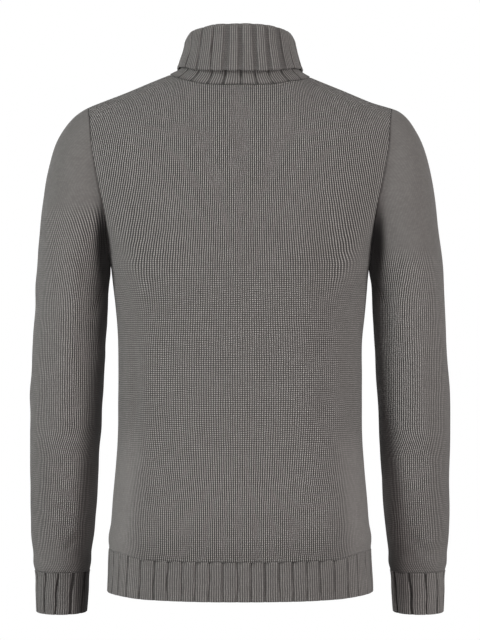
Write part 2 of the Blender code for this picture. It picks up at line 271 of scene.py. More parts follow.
def shoulder_line(x):
    """Height of the shoulder line, run on across the neck as if there were no opening."""
    outwards = np.hypot(x, SHOULDER_ARCH) - math.hypot(SHOULDER_RISE_AT, SHOULDER_ARCH)
    return SHOULDER_RISE - SHOULDER_FALL * outwards


def section_share(x, z):
    """How much of the trunk's depth is left at x, from 1 in the middle to 0 at the side."""
    across = np.clip(np.abs(x) / trunk_half_width(z), 0, 1)
    return (1 - across**TRUNK_ROUNDNESS) ** (1 / TRUNK_ROUNDNESS)


def trunk_surface(side, x, z):
    """Distance of the cloth from the plane of the side seams."""
    power = SHOULDER_ROUNDNESS[side]
    rise = np.clip((z - CLOSES[side]) / (shoulder_line(x) - CLOSES[side]), 0, 1)
    return trunk_depth[side](z) * section_share(x, z) * (1 - rise**power) ** (1 / power)


def rounded_share(angle, roundness):
    """A ring's depth at an angle from the middle, as a share: the cosine where roundness is 2."""
    across = np.clip(np.abs(np.sin(angle)), 0, 1)
    return (1 - across**roundness) ** (1 / roundness)


def neck_seam(side, angle):
    """The neck opening in the trunk: angle is 0 in the middle and a quarter turn at the shoulder."""
    power = SHOULDER_ROUNDNESS[side]
    x = NECK_HALF_WIDTH * np.sin(angle)
    depth = NECK_DEPTH[side] * rounded_share(angle, NECK_ROUNDNESS)
    z = np.zeros_like(x)
    for _ in range(8):
        share = np.clip(depth / (trunk_depth[side](z) * section_share(x, z)), 0, 1)
        z = CLOSES[side] + (1 - share**power) ** (1 / power) * (shoulder_line(x) - CLOSES[side])
    return x, depth, z


# %% A point of a panel


def top_edge(side, share):
    """Height of a panel's upper edge, over the neck and along the shoulder."""
    x = share * armhole_x[side](SHOULDER_POINT)
    over_neck = np.arcsin(np.clip(x / NECK_HALF_WIDTH, 0, 1))
    return np.where(x < NECK_HALF_WIDTH, neck_seam(side, over_neck)[2], shoulder_line(x))


def panel_point(side, angle, level):
    """A point of the right-hand half of a panel.

    level runs from the hem to the underarm in metres, and on from there to UNDERARM + 1, where
    the last metre stands for the way up the armhole to the shoulder and neck.
    """
    share = np.sin(angle) ** (2 / TRUNK_ROUNDNESS)
    climb = np.clip(level - UNDERARM, 0, 1)
    edge_z = UNDERARM + climb * (SHOULDER_POINT - UNDERARM)
    z = np.minimum(level, UNDERARM) + climb * (top_edge(side, share) - UNDERARM)
    half_width = np.where(climb > 0, armhole_x[side](edge_z), trunk_half_width(level))
    x = half_width * share
    y = FACING[side] * (trunk_surface(side, x, z) + SEAM_GAP / 2)
    return np.stack([x, y, z], axis=-1)


def unit(vectors):
    return vectors / np.linalg.norm(vectors, axis=-1, keepdims=True)


def surface_normals(point_at, first, second, turn):
    """Unit normals of point_at(first, second), from tiny steps towards the middle of its domain."""
    step = 1e-5
    across = np.where(first > np.mean(first), -step, step)
    along = np.where(second > np.mean(second), -step, step)
    base = point_at(first, second)
    d_first = (point_at(first + across, second) - base) / across[..., None]
    d_second = (point_at(first, second + along) - base) / along[..., None]
    return unit(turn * np.cross(d_first, d_second))


# %% [markdown]
# ## A piece of cloth with rolled edges
#
# Knitted cloth is thick and soft, so a cut or linked edge is never sharp: it rolls over in a small
# half circle. Where two rolled edges meet, the seam shows as a fine dark groove. We make each piece
# as two grids of points, the outer and the inner face, and let the distance between them close
# towards an open edge. Rows are set close together there, so that the roll comes out round.
#
# Each corner also gets its place on the flat cloth, in metres, as a UV map named "knit". The yarn
# material counts its stitches in it, so they have one size all over the sweater.

# %% Rows that crowd together at a rolled edge
ROLL_RADIUS = WALL / 2
ROLL_STEPS = 4
THINNEST_EDGE = 0.12


def rolled_steps(length, step, start=True, end=True):
    """Distances along the cloth from one edge to the other, closer where an edge is rolled."""
    roll = ROLL_RADIUS * (1 - np.cos(np.linspace(0, math.pi / 2, ROLL_STEPS)))
    inside = np.linspace(0, length, int(round(length / step)) + 1)
    first = roll if start else inside[:1]
    last = length - roll[::-1] if end else inside[-1:]
    return np.concatenate([first, inside[1:-1], last])


def fullness(distance):
    """Share of the cloth's thickness that is left at a distance from a rolled edge."""
    inward = np.clip(distance / ROLL_RADIUS, 0, 1)
    return np.maximum(np.sqrt(1 - (1 - inward) ** 2), THINNEST_EDGE)


# %% Two faces and a rim become one closed piece
CLOTH_COLUMNS = "outer inner across along reverse_outer reverse_inner wale_gap course_gap shade"
Cloth = namedtuple("Cloth", CLOTH_COLUMNS)


def grid_faces(corner):
    """The four corners of every face of a grid of point numbers."""
    faces = np.stack([corner[:-1, :-1], corner[:-1, 1:], corner[1:, 1:], corner[1:, :-1]], axis=-1)
    return faces.reshape(-1, 4)


def corner_values(values):
    """Values of a grid of points at the four corners of each of its faces."""
    corners = [values[:-1, :-1], values[:-1, 1:], values[1:, 1:], values[1:, :-1]]
    return np.stack(corners, axis=2).reshape(-1, 4, values.shape[-1])


def close_round(grid):
    """A grid that runs all round, with its first column again at the end."""
    return np.concatenate([grid, grid[:, :1]], axis=1)


def rim_faces(edge, below):
    return np.stack([edge[:-1], edge[1:], edge[1:] + below, edge[:-1] + below], axis=-1)


def rim_values(values):
    return np.stack([values[:-1], values[1:], values[1:], values[:-1]], axis=1)


def closed_volume(points, faces):
    """Volume inside a closed mesh of four-cornered faces, negative if they face inwards."""
    a, b, c, d = (points[faces[:, k]] for k in range(4))
    first = np.einsum("ij,ij->i", a, np.cross(b, c))
    second = np.einsum("ij,ij->i", a, np.cross(c, d))
    return float((first.sum() + second.sum()) / 6)


def add_point_values(mesh, name, outer, inner, shape):
    both = [np.broadcast_to(values, shape).ravel() for values in (outer, inner)]
    mesh.attributes.new(name, "FLOAT", "POINT").data.foreach_set("value", np.concatenate(both))


def add_cloth(name, cloth, closed_round, material):
    """One closed piece of cloth from its two faces, with its stitches' places as a UV map."""
    rows, columns = cloth.outer.shape[:2]
    corner = np.arange(rows * columns).reshape(rows, columns)
    if closed_round:
        corner = close_round(corner)
    below = rows * columns
    place = np.stack([cloth.across, cloth.along], axis=-1)
    faces = [grid_faces(corner), grid_faces(corner)[:, ::-1] + below]
    places = [corner_values(place), corner_values(place)[:, ::-1]]
    edges = [(corner[0, ::-1], place[0, ::-1]), (corner[-1], place[-1])]
    if not closed_round:
        edges += [(corner[:, 0], place[:, 0]), (corner[::-1, -1], place[::-1, -1])]
    for edge, edge_place in edges:
        faces.append(rim_faces(edge, below))
        places.append(rim_values(edge_place))
    faces = np.concatenate(faces)
    places = np.concatenate(places)
    points = np.concatenate([cloth.outer.reshape(-1, 3), cloth.inner.reshape(-1, 3)])
    if closed_volume(points, faces) < 0:
        faces, places = faces[:, ::-1], places[:, ::-1]
    mesh = bpy.data.meshes.new(name)
    mesh.from_pydata(points.tolist(), [], faces.tolist())
    mesh.shade_smooth()
    mesh.uv_layers.new(name="knit").data.foreach_set("uv", places.reshape(-1))
    shape = cloth.outer.shape[:2]
    add_point_values(mesh, "reverse", cloth.reverse_outer, cloth.reverse_inner, shape)
    add_point_values(mesh, "wale_gap", cloth.wale_gap, cloth.wale_gap, shape)
    add_point_values(mesh, "course_gap", cloth.course_gap, cloth.course_gap, shape)
    # painted shade and light, carried on the outer face only
    add_point_values(mesh, "shade", cloth.shade, 0.0, shape)
    mesh.materials.append(material)
    piece = bpy.data.objects.new(name, mesh)
    scene.collection.objects.link(piece)
    print(f"{name}: {2 * len(faces)} triangles")
    return piece


# %% From a middle surface to two faces


def faces_of_cloth(surface, normals, full):
    """Outer and inner face of cloth whose outer face is surface, thinner where full is below 1."""
    middle = surface - normals * ROLL_RADIUS
    half = normals * (ROLL_RADIUS * full)[..., None]
    return middle + half, middle - half


def mirror_right(hand, faces):
    """Faces of a left piece, mirrored if the hand is the right one."""
    side = -1 if hand == "right" else 1
    return [face * (side, 1, 1) for face in faces]


# %% [markdown]
# ## Folds and unevenness
#
# Worn wool never hangs dead straight. A fold is a soft trough or ridge along a short path, deepest
# in its middle. The cloth that a trough takes in stands up a little on both sides of it, so we add
# low shoulders there. Every piece also gets a slow, slight unevenness, made from a few waves.

# %% A fold along a path
Fold = namedtuple("Fold", "path width depth")
SWELL_POWER = 0.7
SHOULDER_HEIGHT = 0.35  # shoulders are measured in depths and widths of their fold
SHOULDER_WIDTH = 1.1
WAVES = 7
WAVES_TOGETHER = 3.2


def smooth_step(value, low, high):
    """0 below low, 1 above high, and a smooth rise between them."""
    t = np.clip((value - low) / (high - low), 0, 1)
    return t * t * (3 - 2 * t)


def hump(value, middle, half_width, power=2):
    """1 in the middle, about a third at the half width, and nearly 0 beyond. More power, squarer."""
    return np.exp(-(((value - middle) / half_width) ** power))


def fold_relief(first, second, fold):
    """How far a fold lifts each point (first, second). Its depth is negative for a ridge."""
    path = np.array(fold.path)
    lengths = np.linalg.norm(np.diff(path, axis=0), axis=1)
    total = lengths.sum()
    nearest = np.full(first.shape, np.inf)
    travelled = np.zeros(first.shape)
    before = 0.0
    for start, end, length in zip(path[:-1], path[1:], lengths):
        way = (end - start) / length
        t = np.clip((first - start[0]) * way[0] + (second - start[1]) * way[1], 0, length)
        distance = np.hypot(first - start[0] - t * way[0], second - start[1] - t * way[1])
        closer = distance < nearest
        nearest = np.where(closer, distance, nearest)
        travelled = np.where(closer, before + t, travelled)
        before += length
    swell = np.sin(math.pi * np.clip(travelled / total, 0.0, 1.0)) ** SWELL_POWER
    shoulders = SHOULDER_HEIGHT * hump(nearest, 2 * fold.width, SHOULDER_WIDTH * fold.width)
    return -fold.depth * swell * (hump(nearest, 0, fold.width) - shoulders)


def folds_relief(first, second, folds):
    return sum((fold_relief(first, second, fold) for fold in folds), np.zeros(first.shape))


def unevenness(first, second, size, seed):
    """Slow waves between about -1 and 1, with humps of about the given size in metres."""
    draw = np.random.default_rng(seed)
    total = np.zeros(np.broadcast(first, second).shape)
    for _ in range(WAVES):
        heading = draw.uniform(0, 2 * math.pi)
        stretch = 2 * math.pi / (size * draw.uniform(0.8, 2.4))
        phase = draw.uniform(0, 2 * math.pi)
        total += np.sin(stretch * (np.cos(heading) * first + np.sin(heading) * second) + phase)
    return total / WAVES_TOGETHER


# %% [markdown]
# ## Shoulders that sag
#
# Between the collar and the armhole the shoulders hang a few millimetres, the wearer's right one more
# than the left. One function lowers every point near a shoulder seam, whatever piece it belongs to,
# so the pieces stay together.

# %% How far each shoulder hangs
Sag = namedtuple("Sag", "depth full_until gone_at")
SAGS = [(1, Sag(0.0019, 0.150, 0.200)), (-1, Sag(0.0052, 0.165, 0.215))]


def let_shoulders_sag(points):
    x, z = points[..., 0], points[..., 2]
    upwards = smooth_step(z, -0.110, -0.020) * (1 - smooth_step(z, 0.008, 0.030))
    lowered = points.copy()
    for hand, sag in SAGS:
        out = hand * x
        across = smooth_step(out, 0.060, 0.092) * (1 - smooth_step(out, sag.full_until, sag.gone_at))
        lowered[..., 2] -= sag.depth * across * upwards
    return lowered


# %% [markdown]
# ## Yarn: stitches from mathematics
#
# Plain knitting shows columns of small "V"s, called wales, stacked in rows called courses. The
# reverse side shows rows of small bumps. At arm's length nobody sees single loops as shapes, but
# the eye reads the fine dark gaps between them at once. We draw them from the UV map, as bumps and
# as painted shade in the colour: a position counted in wales and courses, folded about the middle
# of each wale, gives the slant of both legs of the "V". It is one node group, and the jersey and
# the rib both use it with their own gauge.

# %% Small helpers for node trees


def new_group(name, inputs, outputs):
    """A shader node group with named sockets, and its two end nodes."""
    group = bpy.data.node_groups.new(name, "ShaderNodeTree")
    for label, kind in inputs:
        group.interface.new_socket(label, in_out="INPUT", socket_type=kind)
    for label, kind in outputs:
        group.interface.new_socket(label, in_out="OUTPUT", socket_type=kind)
    return group, group.nodes.new("NodeGroupInput"), group.nodes.new("NodeGroupOutput")


def plug(tree, value, socket):
    """Links a socket to another, or sets a plain number on it."""
    if isinstance(value, bpy.types.NodeSocket):
        tree.links.new(value, socket)
    else:
        socket.default_value = value


def calc(tree, operation, *values):
    """One Math node; its result."""
    node = tree.nodes.new("ShaderNodeMath")
    node.operation = operation
    for value, socket in zip(values, node.inputs):
        plug(tree, value, socket)
    return node.outputs[0]


def blend_values(tree, share, first, second):
    """first where share is 0, second where it is 1."""
    node = tree.nodes.new("ShaderNodeMix")
    plug(tree, share, node.inputs["Factor"])
    plug(tree, first, node.inputs["A"])
    plug(tree, second, node.inputs["B"])
    return node.outputs["Result"]


# %% The stitch group
FLOAT = "NodeSocketFloat"
COLOUR = "NodeSocketColor"
VECTOR = "NodeSocketVector"
PUSH_ACROSS = 0.40  # how far stitches wander from their place, in stitches
PUSH_ALONG = 0.80
PUSH_SCALE = 60.0
SLANT = 0.25
MEAN_HEIGHT = 0.35
MEAN_HUMP = 0.375  # average of a squared wave between 0 and 1
BUMP_ACROSS = 0.08
BUMP_ALONG = 0.07


def swing(tree, value):
    """A wave that is -1 where the value is whole, and 1 half way between."""
    turn = calc(tree, "COSINE", calc(tree, "MULTIPLY", value, 2 * math.pi))
    return calc(tree, "MULTIPLY", turn, -1.0)


def sway(tree, value, size, base):
    """The base, moved both ways by a value between 0 and 1, over a range of the given size."""
    return calc(tree, "MULTIPLY_ADD", calc(tree, "SUBTRACT", value, 0.5), size, base)


def strand(tree, value, depth):
    """A round strand between two gaps: 1 on the average, more in its middle, less in the gaps."""
    wave = calc(tree, "MULTIPLY_ADD", swing(tree, value), 0.5, 0.5)
    round_top = calc(tree, "MULTIPLY", calc(tree, "MULTIPLY", wave, wave), 1 / MEAN_HUMP)
    return calc(tree, "MULTIPLY_ADD", calc(tree, "SUBTRACT", round_top, 1.0), depth, 1.0)


def count_stitches(group, start):
    """The place counted in wales and in courses. Every stitch sits a little out of its place."""
    flat = group.nodes.new("ShaderNodeCombineXYZ")
    plug(group, start.outputs["Across"], flat.inputs["X"])
    plug(group, start.outputs["Along"], flat.inputs["Y"])
    push = group.nodes.new("ShaderNodeTexNoise")
    push.noise_dimensions = "2D"
    push.inputs["Scale"].default_value = PUSH_SCALE
    push.inputs["Detail"].default_value = 1.0
    group.links.new(flat.outputs[0], push.inputs["Vector"])
    pushed = group.nodes.new("ShaderNodeSeparateColor")
    group.links.new(push.outputs["Color"], pushed.inputs[0])
    wales = calc(group, "DIVIDE", start.outputs["Across"], start.outputs["Wale"])
    wales = sway(group, pushed.outputs[0], PUSH_ACROSS, wales)
    courses = calc(group, "DIVIDE", start.outputs["Along"], start.outputs["Course"])
    courses = sway(group, pushed.outputs[1], PUSH_ALONG, courses)
    return wales, courses


def reverse_bumps(group, wales, courses):
    """The reverse side: rows of bumps, each row shifted by half a wale, lower than the plain side."""
    row = calc(group, "FLOOR", courses)
    shift = calc(group, "MULTIPLY", calc(group, "MODULO", row, 2.0), 0.5)
    shifted = calc(group, "ADD", wales, shift)
    bump_across = calc(group, "MULTIPLY_ADD", swing(group, shifted), BUMP_ACROSS, 0.5)
    bump_along = calc(group, "MULTIPLY_ADD", swing(group, courses), BUMP_ALONG, 0.5)
    return calc(group, "MULTIPLY", bump_across, bump_along)


def make_stitch_group():
    inputs = ["Across", "Along", "Wale", "Course", "Reverse", "Wale gap", "Course gap"]
    inputs = [(label, FLOAT) for label in inputs]
    outputs = [("Height", FLOAT), ("Chance", FLOAT)]
    group, start, end = new_group("knit_stitches", inputs, outputs)
    wales, courses = count_stitches(group, start)

    # 0 in the middle of a wale, 1 at its edges. Both legs of the V slant upwards from the middle.
    off_middle = calc(group, "PINGPONG", calc(group, "SUBTRACT", wales, 0.5), 0.5)
    slant = calc(group, "MULTIPLY", off_middle, 2 * SLANT)
    slanted = calc(group, "SUBTRACT", courses, slant)
    across_share = strand(group, wales, start.outputs["Wale gap"])
    along_share = strand(group, slanted, start.outputs["Course gap"])
    plain = calc(group, "MULTIPLY", across_share, along_share)
    plain = calc(group, "MULTIPLY", plain, MEAN_HEIGHT)
    bumps = reverse_bumps(group, wales, courses)
    height = blend_values(group, start.outputs["Reverse"], plain, bumps)

    place = group.nodes.new("ShaderNodeCombineXYZ")
    plug(group, calc(group, "FLOOR", wales), place.inputs["X"])
    plug(group, calc(group, "FLOOR", slanted), place.inputs["Y"])
    chance = group.nodes.new("ShaderNodeTexWhiteNoise")
    chance.noise_dimensions = "2D"
    group.links.new(place.outputs[0], chance.inputs["Vector"])
    group.links.new(height, end.inputs["Height"])
    group.links.new(chance.outputs["Value"], end.inputs["Chance"])
    return group


stitch_group = make_stitch_group()
print(f"stitch group: {len(stitch_group.nodes)} nodes")

# %% [markdown]
# ## Yarn: a warm grey with some life in it
#
# The yarn is spun from fibres that took the dye unevenly. One stitch is a little lighter than the
# next, and broad patches lean to a warm or to a cool grey. The gaps between the strands get painted
# shade, which makes them nearly black. The second group turns the height of the stitch, a chance
# value and slow noise into a colour, paints in each point's shade or light, and adds fine fibres to
# the height.

# %% The yarn group
# Sizes of the noise are in humps to a metre: patches of dye, strands of the yarn and single fibres.
PATCH_SCALE = 75.0
STRAND_SCALE = 420.0
FIBRE_SCALE = 1900.0
STRANDS_IN_LEAN = 0.6  # the strands' part in the lean to warm or cool; the patches have the rest
LOWEST_TONE = 0.77
CHANCE_TONE = 0.12
NOISE_TONE = 0.15
SHADE_STRENGTH = 0.75
GAP_ROUGHNESS = 0.98
SMOOTHER_ON_TOP = 0.12


def add_noise(tree, place, scale, detail):
    noise = tree.nodes.new("ShaderNodeTexNoise")
    noise.inputs["Scale"].default_value = scale
    noise.inputs["Detail"].default_value = detail
    tree.links.new(place, noise.inputs["Vector"])
    return noise.outputs[0]


def mix_colours(tree, share, first, second, way="MIX"):
    node = tree.nodes.new("ShaderNodeMix")
    node.data_type = "RGBA"
    node.blend_type = way
    plug(tree, share, node.inputs[0])
    plug(tree, first, node.inputs[6])
    plug(tree, second, node.inputs[7])
    return node.outputs[2]


def grey(tree, value):
    node = tree.nodes.new("ShaderNodeCombineColor")
    for socket in node.inputs:
        plug(tree, value, socket)
    return node.outputs[0]


def make_yarn_group():
    inputs = [("Height", FLOAT), ("Chance", FLOAT), ("Warm", COLOUR), ("Cool", COLOUR), ("Gap", COLOUR)]
    inputs += [("Fibres", FLOAT), ("Shade", FLOAT), ("Place", VECTOR)]
    outputs = [("Colour", COLOUR), ("Height", FLOAT), ("Roughness", FLOAT)]
    group, start, end = new_group("wool_yarn", inputs, outputs)
    place = start.outputs["Place"]
    patches = add_noise(group, place, PATCH_SCALE, 2.0)
    strands = add_noise(group, place, STRAND_SCALE, 2.0)
    fibres = add_noise(group, place, FIBRE_SCALE, 3.0)

    lean = calc(group, "MULTIPLY", patches, 1 - STRANDS_IN_LEAN)
    lean = calc(group, "MULTIPLY_ADD", strands, STRANDS_IN_LEAN, lean)
    yarn = mix_colours(group, lean, start.outputs["Warm"], start.outputs["Cool"])
    tone = calc(group, "MULTIPLY_ADD", start.outputs["Chance"], CHANCE_TONE, LOWEST_TONE)
    tone = sway(group, fibres, NOISE_TONE, tone)
    tone = sway(group, patches, NOISE_TONE, tone)
    # Painted shade and light: a point's shade darkens the colour, or lightens it where it is below 0.
    lit = calc(group, "MULTIPLY_ADD", start.outputs["Shade"], -SHADE_STRENGTH, 1.0)
    # Painted shade in the gaps: the colour is scaled by the stitch's height, so low places are dark.
    tone = calc(group, "MULTIPLY", calc(group, "MULTIPLY", tone, lit), start.outputs["Height"])
    toned = mix_colours(group, 1.0, yarn, grey(group, tone), "MULTIPLY")
    group.links.new(mix_colours(group, 1.0, toned, start.outputs["Gap"], "ADD"), end.inputs["Colour"])
    fuzz = calc(group, "MULTIPLY", calc(group, "SUBTRACT", fibres, 0.5), start.outputs["Fibres"])
    group.links.new(calc(group, "ADD", start.outputs["Height"], fuzz), end.inputs["Height"])
    rough = calc(group, "MULTIPLY_ADD", start.outputs["Height"], -SMOOTHER_ON_TOP, GAP_ROUGHNESS)
    group.links.new(rough, end.inputs["Roughness"])
    return group


yarn_group = make_yarn_group()
print(f"yarn group: {len(yarn_group.nodes)} nodes")

# %% A knitted material
Gauge = namedtuple("Gauge", "wale course")
JERSEY_GAUGE = Gauge(0.0029, 0.0026)
RIB_GAUGE = Gauge(0.0030, 0.0026)
WARM_YARN = (0.425, 0.383, 0.364, 1.0)
COOL_YARN = (0.385, 0.356, 0.345, 1.0)
# painted shade: the colour left in the deepest gaps between the strands
GAP_COLOUR = (0.006, 0.005, 0.005, 1.0)
RIB_TONE = 0.89  # a rib is knitted tighter and shows more of its shaded gaps
STITCH_RELIEF = 0.0005
FIBRES = 0.45
NAP = 0.10
NAP_ROUGHNESS = 0.55
NAP_TINT = (1.0, 0.97, 0.95, 1.0)
WOOL_GLOSS = 0.2


def toned(colour, tone):
    return (colour[0] * tone, colour[1] * tone, colour[2] * tone, 1.0)


def place_group(tree, group, values):
    """A group placed in a material, with a link or a plain value for each named input."""
    node = tree.nodes.new("ShaderNodeGroup")
    node.node_tree = group
    for label, value in values.items():
        plug(tree, value, node.inputs[label])
    return node


def make_knit_material(name, gauge, tone):
    material = bpy.data.materials.new(name)
    material.use_nodes = True
    tree = material.node_tree
    shader = tree.nodes["Principled BSDF"]
    shader.inputs["Sheen Weight"].default_value = NAP
    shader.inputs["Sheen Roughness"].default_value = NAP_ROUGHNESS
    shader.inputs["Sheen Tint"].default_value = NAP_TINT
    shader.inputs["Specular IOR Level"].default_value = WOOL_GLOSS

    flat_place = tree.nodes.new("ShaderNodeUVMap")
    flat_place.uv_map = "knit"
    split = tree.nodes.new("ShaderNodeSeparateXYZ")
    tree.links.new(flat_place.outputs[0], split.inputs[0])

    def point_value(label):
        node = tree.nodes.new("ShaderNodeAttribute")
        node.attribute_name = label
        return node.outputs["Fac"]

    stitches = place_group(tree, stitch_group, {
        "Across": split.outputs["X"],
        "Along": split.outputs["Y"],
        "Wale": gauge.wale,
        "Course": gauge.course,
        "Reverse": point_value("reverse"),
        "Wale gap": point_value("wale_gap"),
        "Course gap": point_value("course_gap"),
    })
    yarn = place_group(tree, yarn_group, {
        "Height": stitches.outputs["Height"],
        "Chance": stitches.outputs["Chance"],
        "Warm": toned(WARM_YARN, tone),
        "Cool": toned(COOL_YARN, tone),
        "Gap": GAP_COLOUR,
        "Fibres": FIBRES,
        "Shade": point_value("shade"),
        "Place": tree.nodes.new("ShaderNodeTexCoord").outputs["Object"],
    })

    bump = tree.nodes.new("ShaderNodeBump")
    bump.inputs["Strength"].default_value = 1.0
    bump.inputs["Distance"].default_value = STITCH_RELIEF
    tree.links.new(yarn.outputs["Height"], bump.inputs["Height"])
    tree.links.new(yarn.outputs["Colour"], shader.inputs["Base Color"])
    tree.links.new(yarn.outputs["Roughness"], shader.inputs["Roughness"])
    tree.links.new(bump.outputs[0], shader.inputs["Normal"])
    return material


jersey = make_knit_material("jersey_wool", JERSEY_GAUGE, 1.0)
rib = make_knit_material("rib_wool", RIB_GAUGE, RIB_TONE)

# %% [markdown]
# ## Back and front
#
# Each panel is knitted in one piece from the hem rib to the shoulders, and narrowed at the armholes.
# We lay a grid on the trunk's form, a few millimetres to a mesh, and measure along it how much cloth
# there is: across from the middle, and up from the hem. Those two lengths place the stitches.
#
# Worn wool isn't the same all over, so each point of the grid also says how deep the gaps between
# its stitches are. It also carries painted shade and light for its yarn: 1 is nearly black, and
# below 0 it is painted lighter than usual.

# %% Columns and rows of a panel
PANEL_STEP = 0.0028
RIB_HEIGHT = HEM_RIB_TOP - HEM_EDGE


def running_length(points, axis=0):
    """Distance covered along a grid of points, from its first row or column."""
    steps = np.linalg.norm(np.diff(points, axis=axis), axis=-1)
    start = np.zeros_like(np.take(steps, [0], axis=axis))
    return np.concatenate([start, np.cumsum(steps, axis=axis)], axis=axis)


def even_angles(side, distances_over):
    """Turns a share of a half panel's width into its angle, nearly evenly at all heights."""
    fine = np.linspace(0, math.pi / 2, 500)
    share = np.zeros_like(fine)
    for level in (HEM_RIB_TOP, WAIST, UNDERARM + 0.3):
        length = running_length(panel_point(side, fine, np.full_like(fine, level)))
        share += length / length[-1] / 3
    return np.interp(distances_over, share, fine)


def even_climbs(side, shares):
    """Turns a share of the way up the armhole region into its climb, evenly along the cloth."""
    fine = (1 - np.cos(np.linspace(0, math.pi, 500))) / 2
    share = np.zeros_like(fine)
    for angle in (0.3, 0.8, 1.2, 1.5):
        length = running_length(panel_point(side, np.full_like(fine, angle), UNDERARM + fine))
        share += length / length[-1] / 4
    return np.interp(shares, share, fine)


def panel_grid(side, half_angles, levels):
    """Points and normals of a whole panel, from its right edge to its left one."""
    signed = np.concatenate([-half_angles[:0:-1], half_angles])
    angle, level = np.meshgrid(np.abs(signed), levels)
    points = panel_point(side, angle, level)
    normals = surface_normals(lambda a, h: panel_point(side, a, h), angle, level, -FACING[side])
    points[..., 0] *= np.sign(signed)
    normals[..., 0] *= np.sign(signed)
    return points, unit(normals)


def panel_lengths(points, first_length):
    """Cloth across from the middle column, and up from the hem, at each point of a panel."""
    middle = points.shape[1] // 2
    level_steps = np.linalg.norm(np.diff(points[..., :2], axis=1), axis=-1)
    across = np.concatenate([np.zeros((len(points), 1)), np.cumsum(level_steps, axis=1)], axis=1)
    across -= across[:, middle : middle + 1]
    return across, first_length + running_length(points)


# %% Folds of the back
# Paths are (x, z): a long soft hollow down the right half, a crease and a ridge at the left waist,
# short pulls from the underarms, and the fullness that rests on the hem rib.
BACK_FOLDS = [
    Fold([(-0.105, -0.120), (-0.112, -0.230), (-0.118, -0.340), (-0.116, -0.470)], 0.020, 0.0030),
    Fold([(0.137, -0.325), (0.134, -0.420), (0.138, -0.530)], 0.0050, 0.0018),
    Fold([(0.118, -0.345), (0.113, -0.440), (0.117, -0.540)], 0.0090, -0.0014),
    Fold([(0.168, -0.250), (0.150, -0.285), (0.134, -0.325)], 0.0060, 0.0016),
    Fold([(0.160, -0.225), (0.137, -0.240), (0.112, -0.250)], 0.0070, 0.0013),
    Fold([(-0.168, -0.252), (-0.152, -0.290), (-0.142, -0.345)], 0.0060, 0.0018),
    Fold([(-0.160, -0.222), (-0.138, -0.232), (-0.118, -0.238)], 0.0070, 0.0012),
    Fold([(0.060, -0.575), (0.000, -0.590), (-0.070, -0.582)], 0.0110, 0.0014),
    Fold([(0.020, -0.470), (-0.015, -0.485), (-0.055, -0.480)], 0.0120, 0.0009),
    Fold([(0.030, -0.050), (0.000, -0.058), (-0.035, -0.052)], 0.0100, 0.0012),
    Fold([(-0.140, -0.500), (-0.146, -0.560), (-0.140, -0.610)], 0.0070, 0.0012),
]
FRONT_FOLDS = [
    Fold([(0.090, -0.130), (0.112, -0.230), (0.120, -0.350)], 0.018, 0.0026),
    Fold([(-0.085, -0.140), (-0.110, -0.240), (-0.116, -0.380)], 0.018, 0.0024),
    Fold([(0.166, -0.255), (0.145, -0.300), (0.130, -0.350)], 0.0060, 0.0018),
    Fold([(-0.166, -0.250), (-0.148, -0.290), (-0.132, -0.345)], 0.0060, 0.0016),
    Fold([(0.158, -0.225), (0.130, -0.215), (0.100, -0.200)], 0.0075, 0.0014),
    Fold([(-0.158, -0.222), (-0.132, -0.215), (-0.104, -0.205)], 0.0075, 0.0013),
    Fold([(0.070, -0.565), (0.005, -0.585), (-0.060, -0.575)], 0.0110, 0.0015),
    Fold([(0.050, -0.440), (0.000, -0.455), (-0.045, -0.450)], 0.0120, 0.0010),
    Fold([(-0.132, -0.420), (-0.136, -0.500), (-0.130, -0.570)], 0.0055, 0.0016),
]


RIB_FULLNESS = 0.0022  # the cloth bags out by this much above the hem rib


def panel_relief(points, folds, seed):
    """How far folds, fullness above the hem and slow unevenness move a panel's cloth outwards."""
    x, z = points[..., 0], points[..., 2]
    fullness_over_rib = RIB_FULLNESS * hump(z - HEM_RIB_TOP, 0.022, 0.016)
    return folds_relief(x, z, folds) + fullness_over_rib + 0.0005 * unevenness(x, z, 0.045, seed)


# %% The line where a panel grows out of its rib
# It runs a little lower in the middle, and climbs where the cloth turns round the side.
RIB_TOP_CLIMB = 0.0062
RIB_TOP_DIP = 0.0006


def rib_top_lift(points):
    return RIB_TOP_CLIMB * smooth_step(np.abs(points[..., 0]), 0.122, 0.158) - RIB_TOP_DIP


# %% How far the gaps between the stitches open
# The width of a wale changes a little on the way up, because the body draws the cloth in or out.
WaleWidth = namedtuple("WaleWidth", "height width")
WALE_WIDTHS = [
    WaleWidth(-0.626, 0.00266),
    WaleWidth(-0.560, 0.00272),
    WaleWidth(-0.498, 0.00292),
    WaleWidth(-0.447, 0.00304),
    WaleWidth(-0.397, 0.00308),
    WaleWidth(-0.347, 0.00305),
    WaleWidth(-0.296, 0.00294),
    WaleWidth(-0.245, 0.00284),
    WaleWidth(-0.194, 0.00272),
    WaleWidth(-0.144, 0.00262),
    WaleWidth(-0.093, 0.00260),
    WaleWidth(-0.040, 0.00262),
]
wale_width = curve_through(WALE_WIDTHS, "width")
OUTER_WALES_FROM = 0.1265  # wales further out than this are the most stretched across the shoulders


def stitched_across(across, z):
    """Across the panel, counted so that wales run together upwards and spread towards the sides."""
    spread = 0.100 * smooth_step(z, -0.33, -0.245) * (1 - np.clip((z + 0.245) / 0.195, 0, 1))
    stretched = 1 - spread * (across / OUTER_WALES_FROM) ** 2
    return across * stretched * JERSEY_GAUGE.wale / wale_width(z)


FELTED_SHADE = 0.10  # darkens the yarn a little where the wale gaps are felted shut
LOW_SHADE = 0.12  # painted shade: just above the hem the cloth bags over the rib, and the yarn there is darkened
LOW_SIDE_LIGHT = 0.25  # painted light: lower down, the panel's sides are lightened
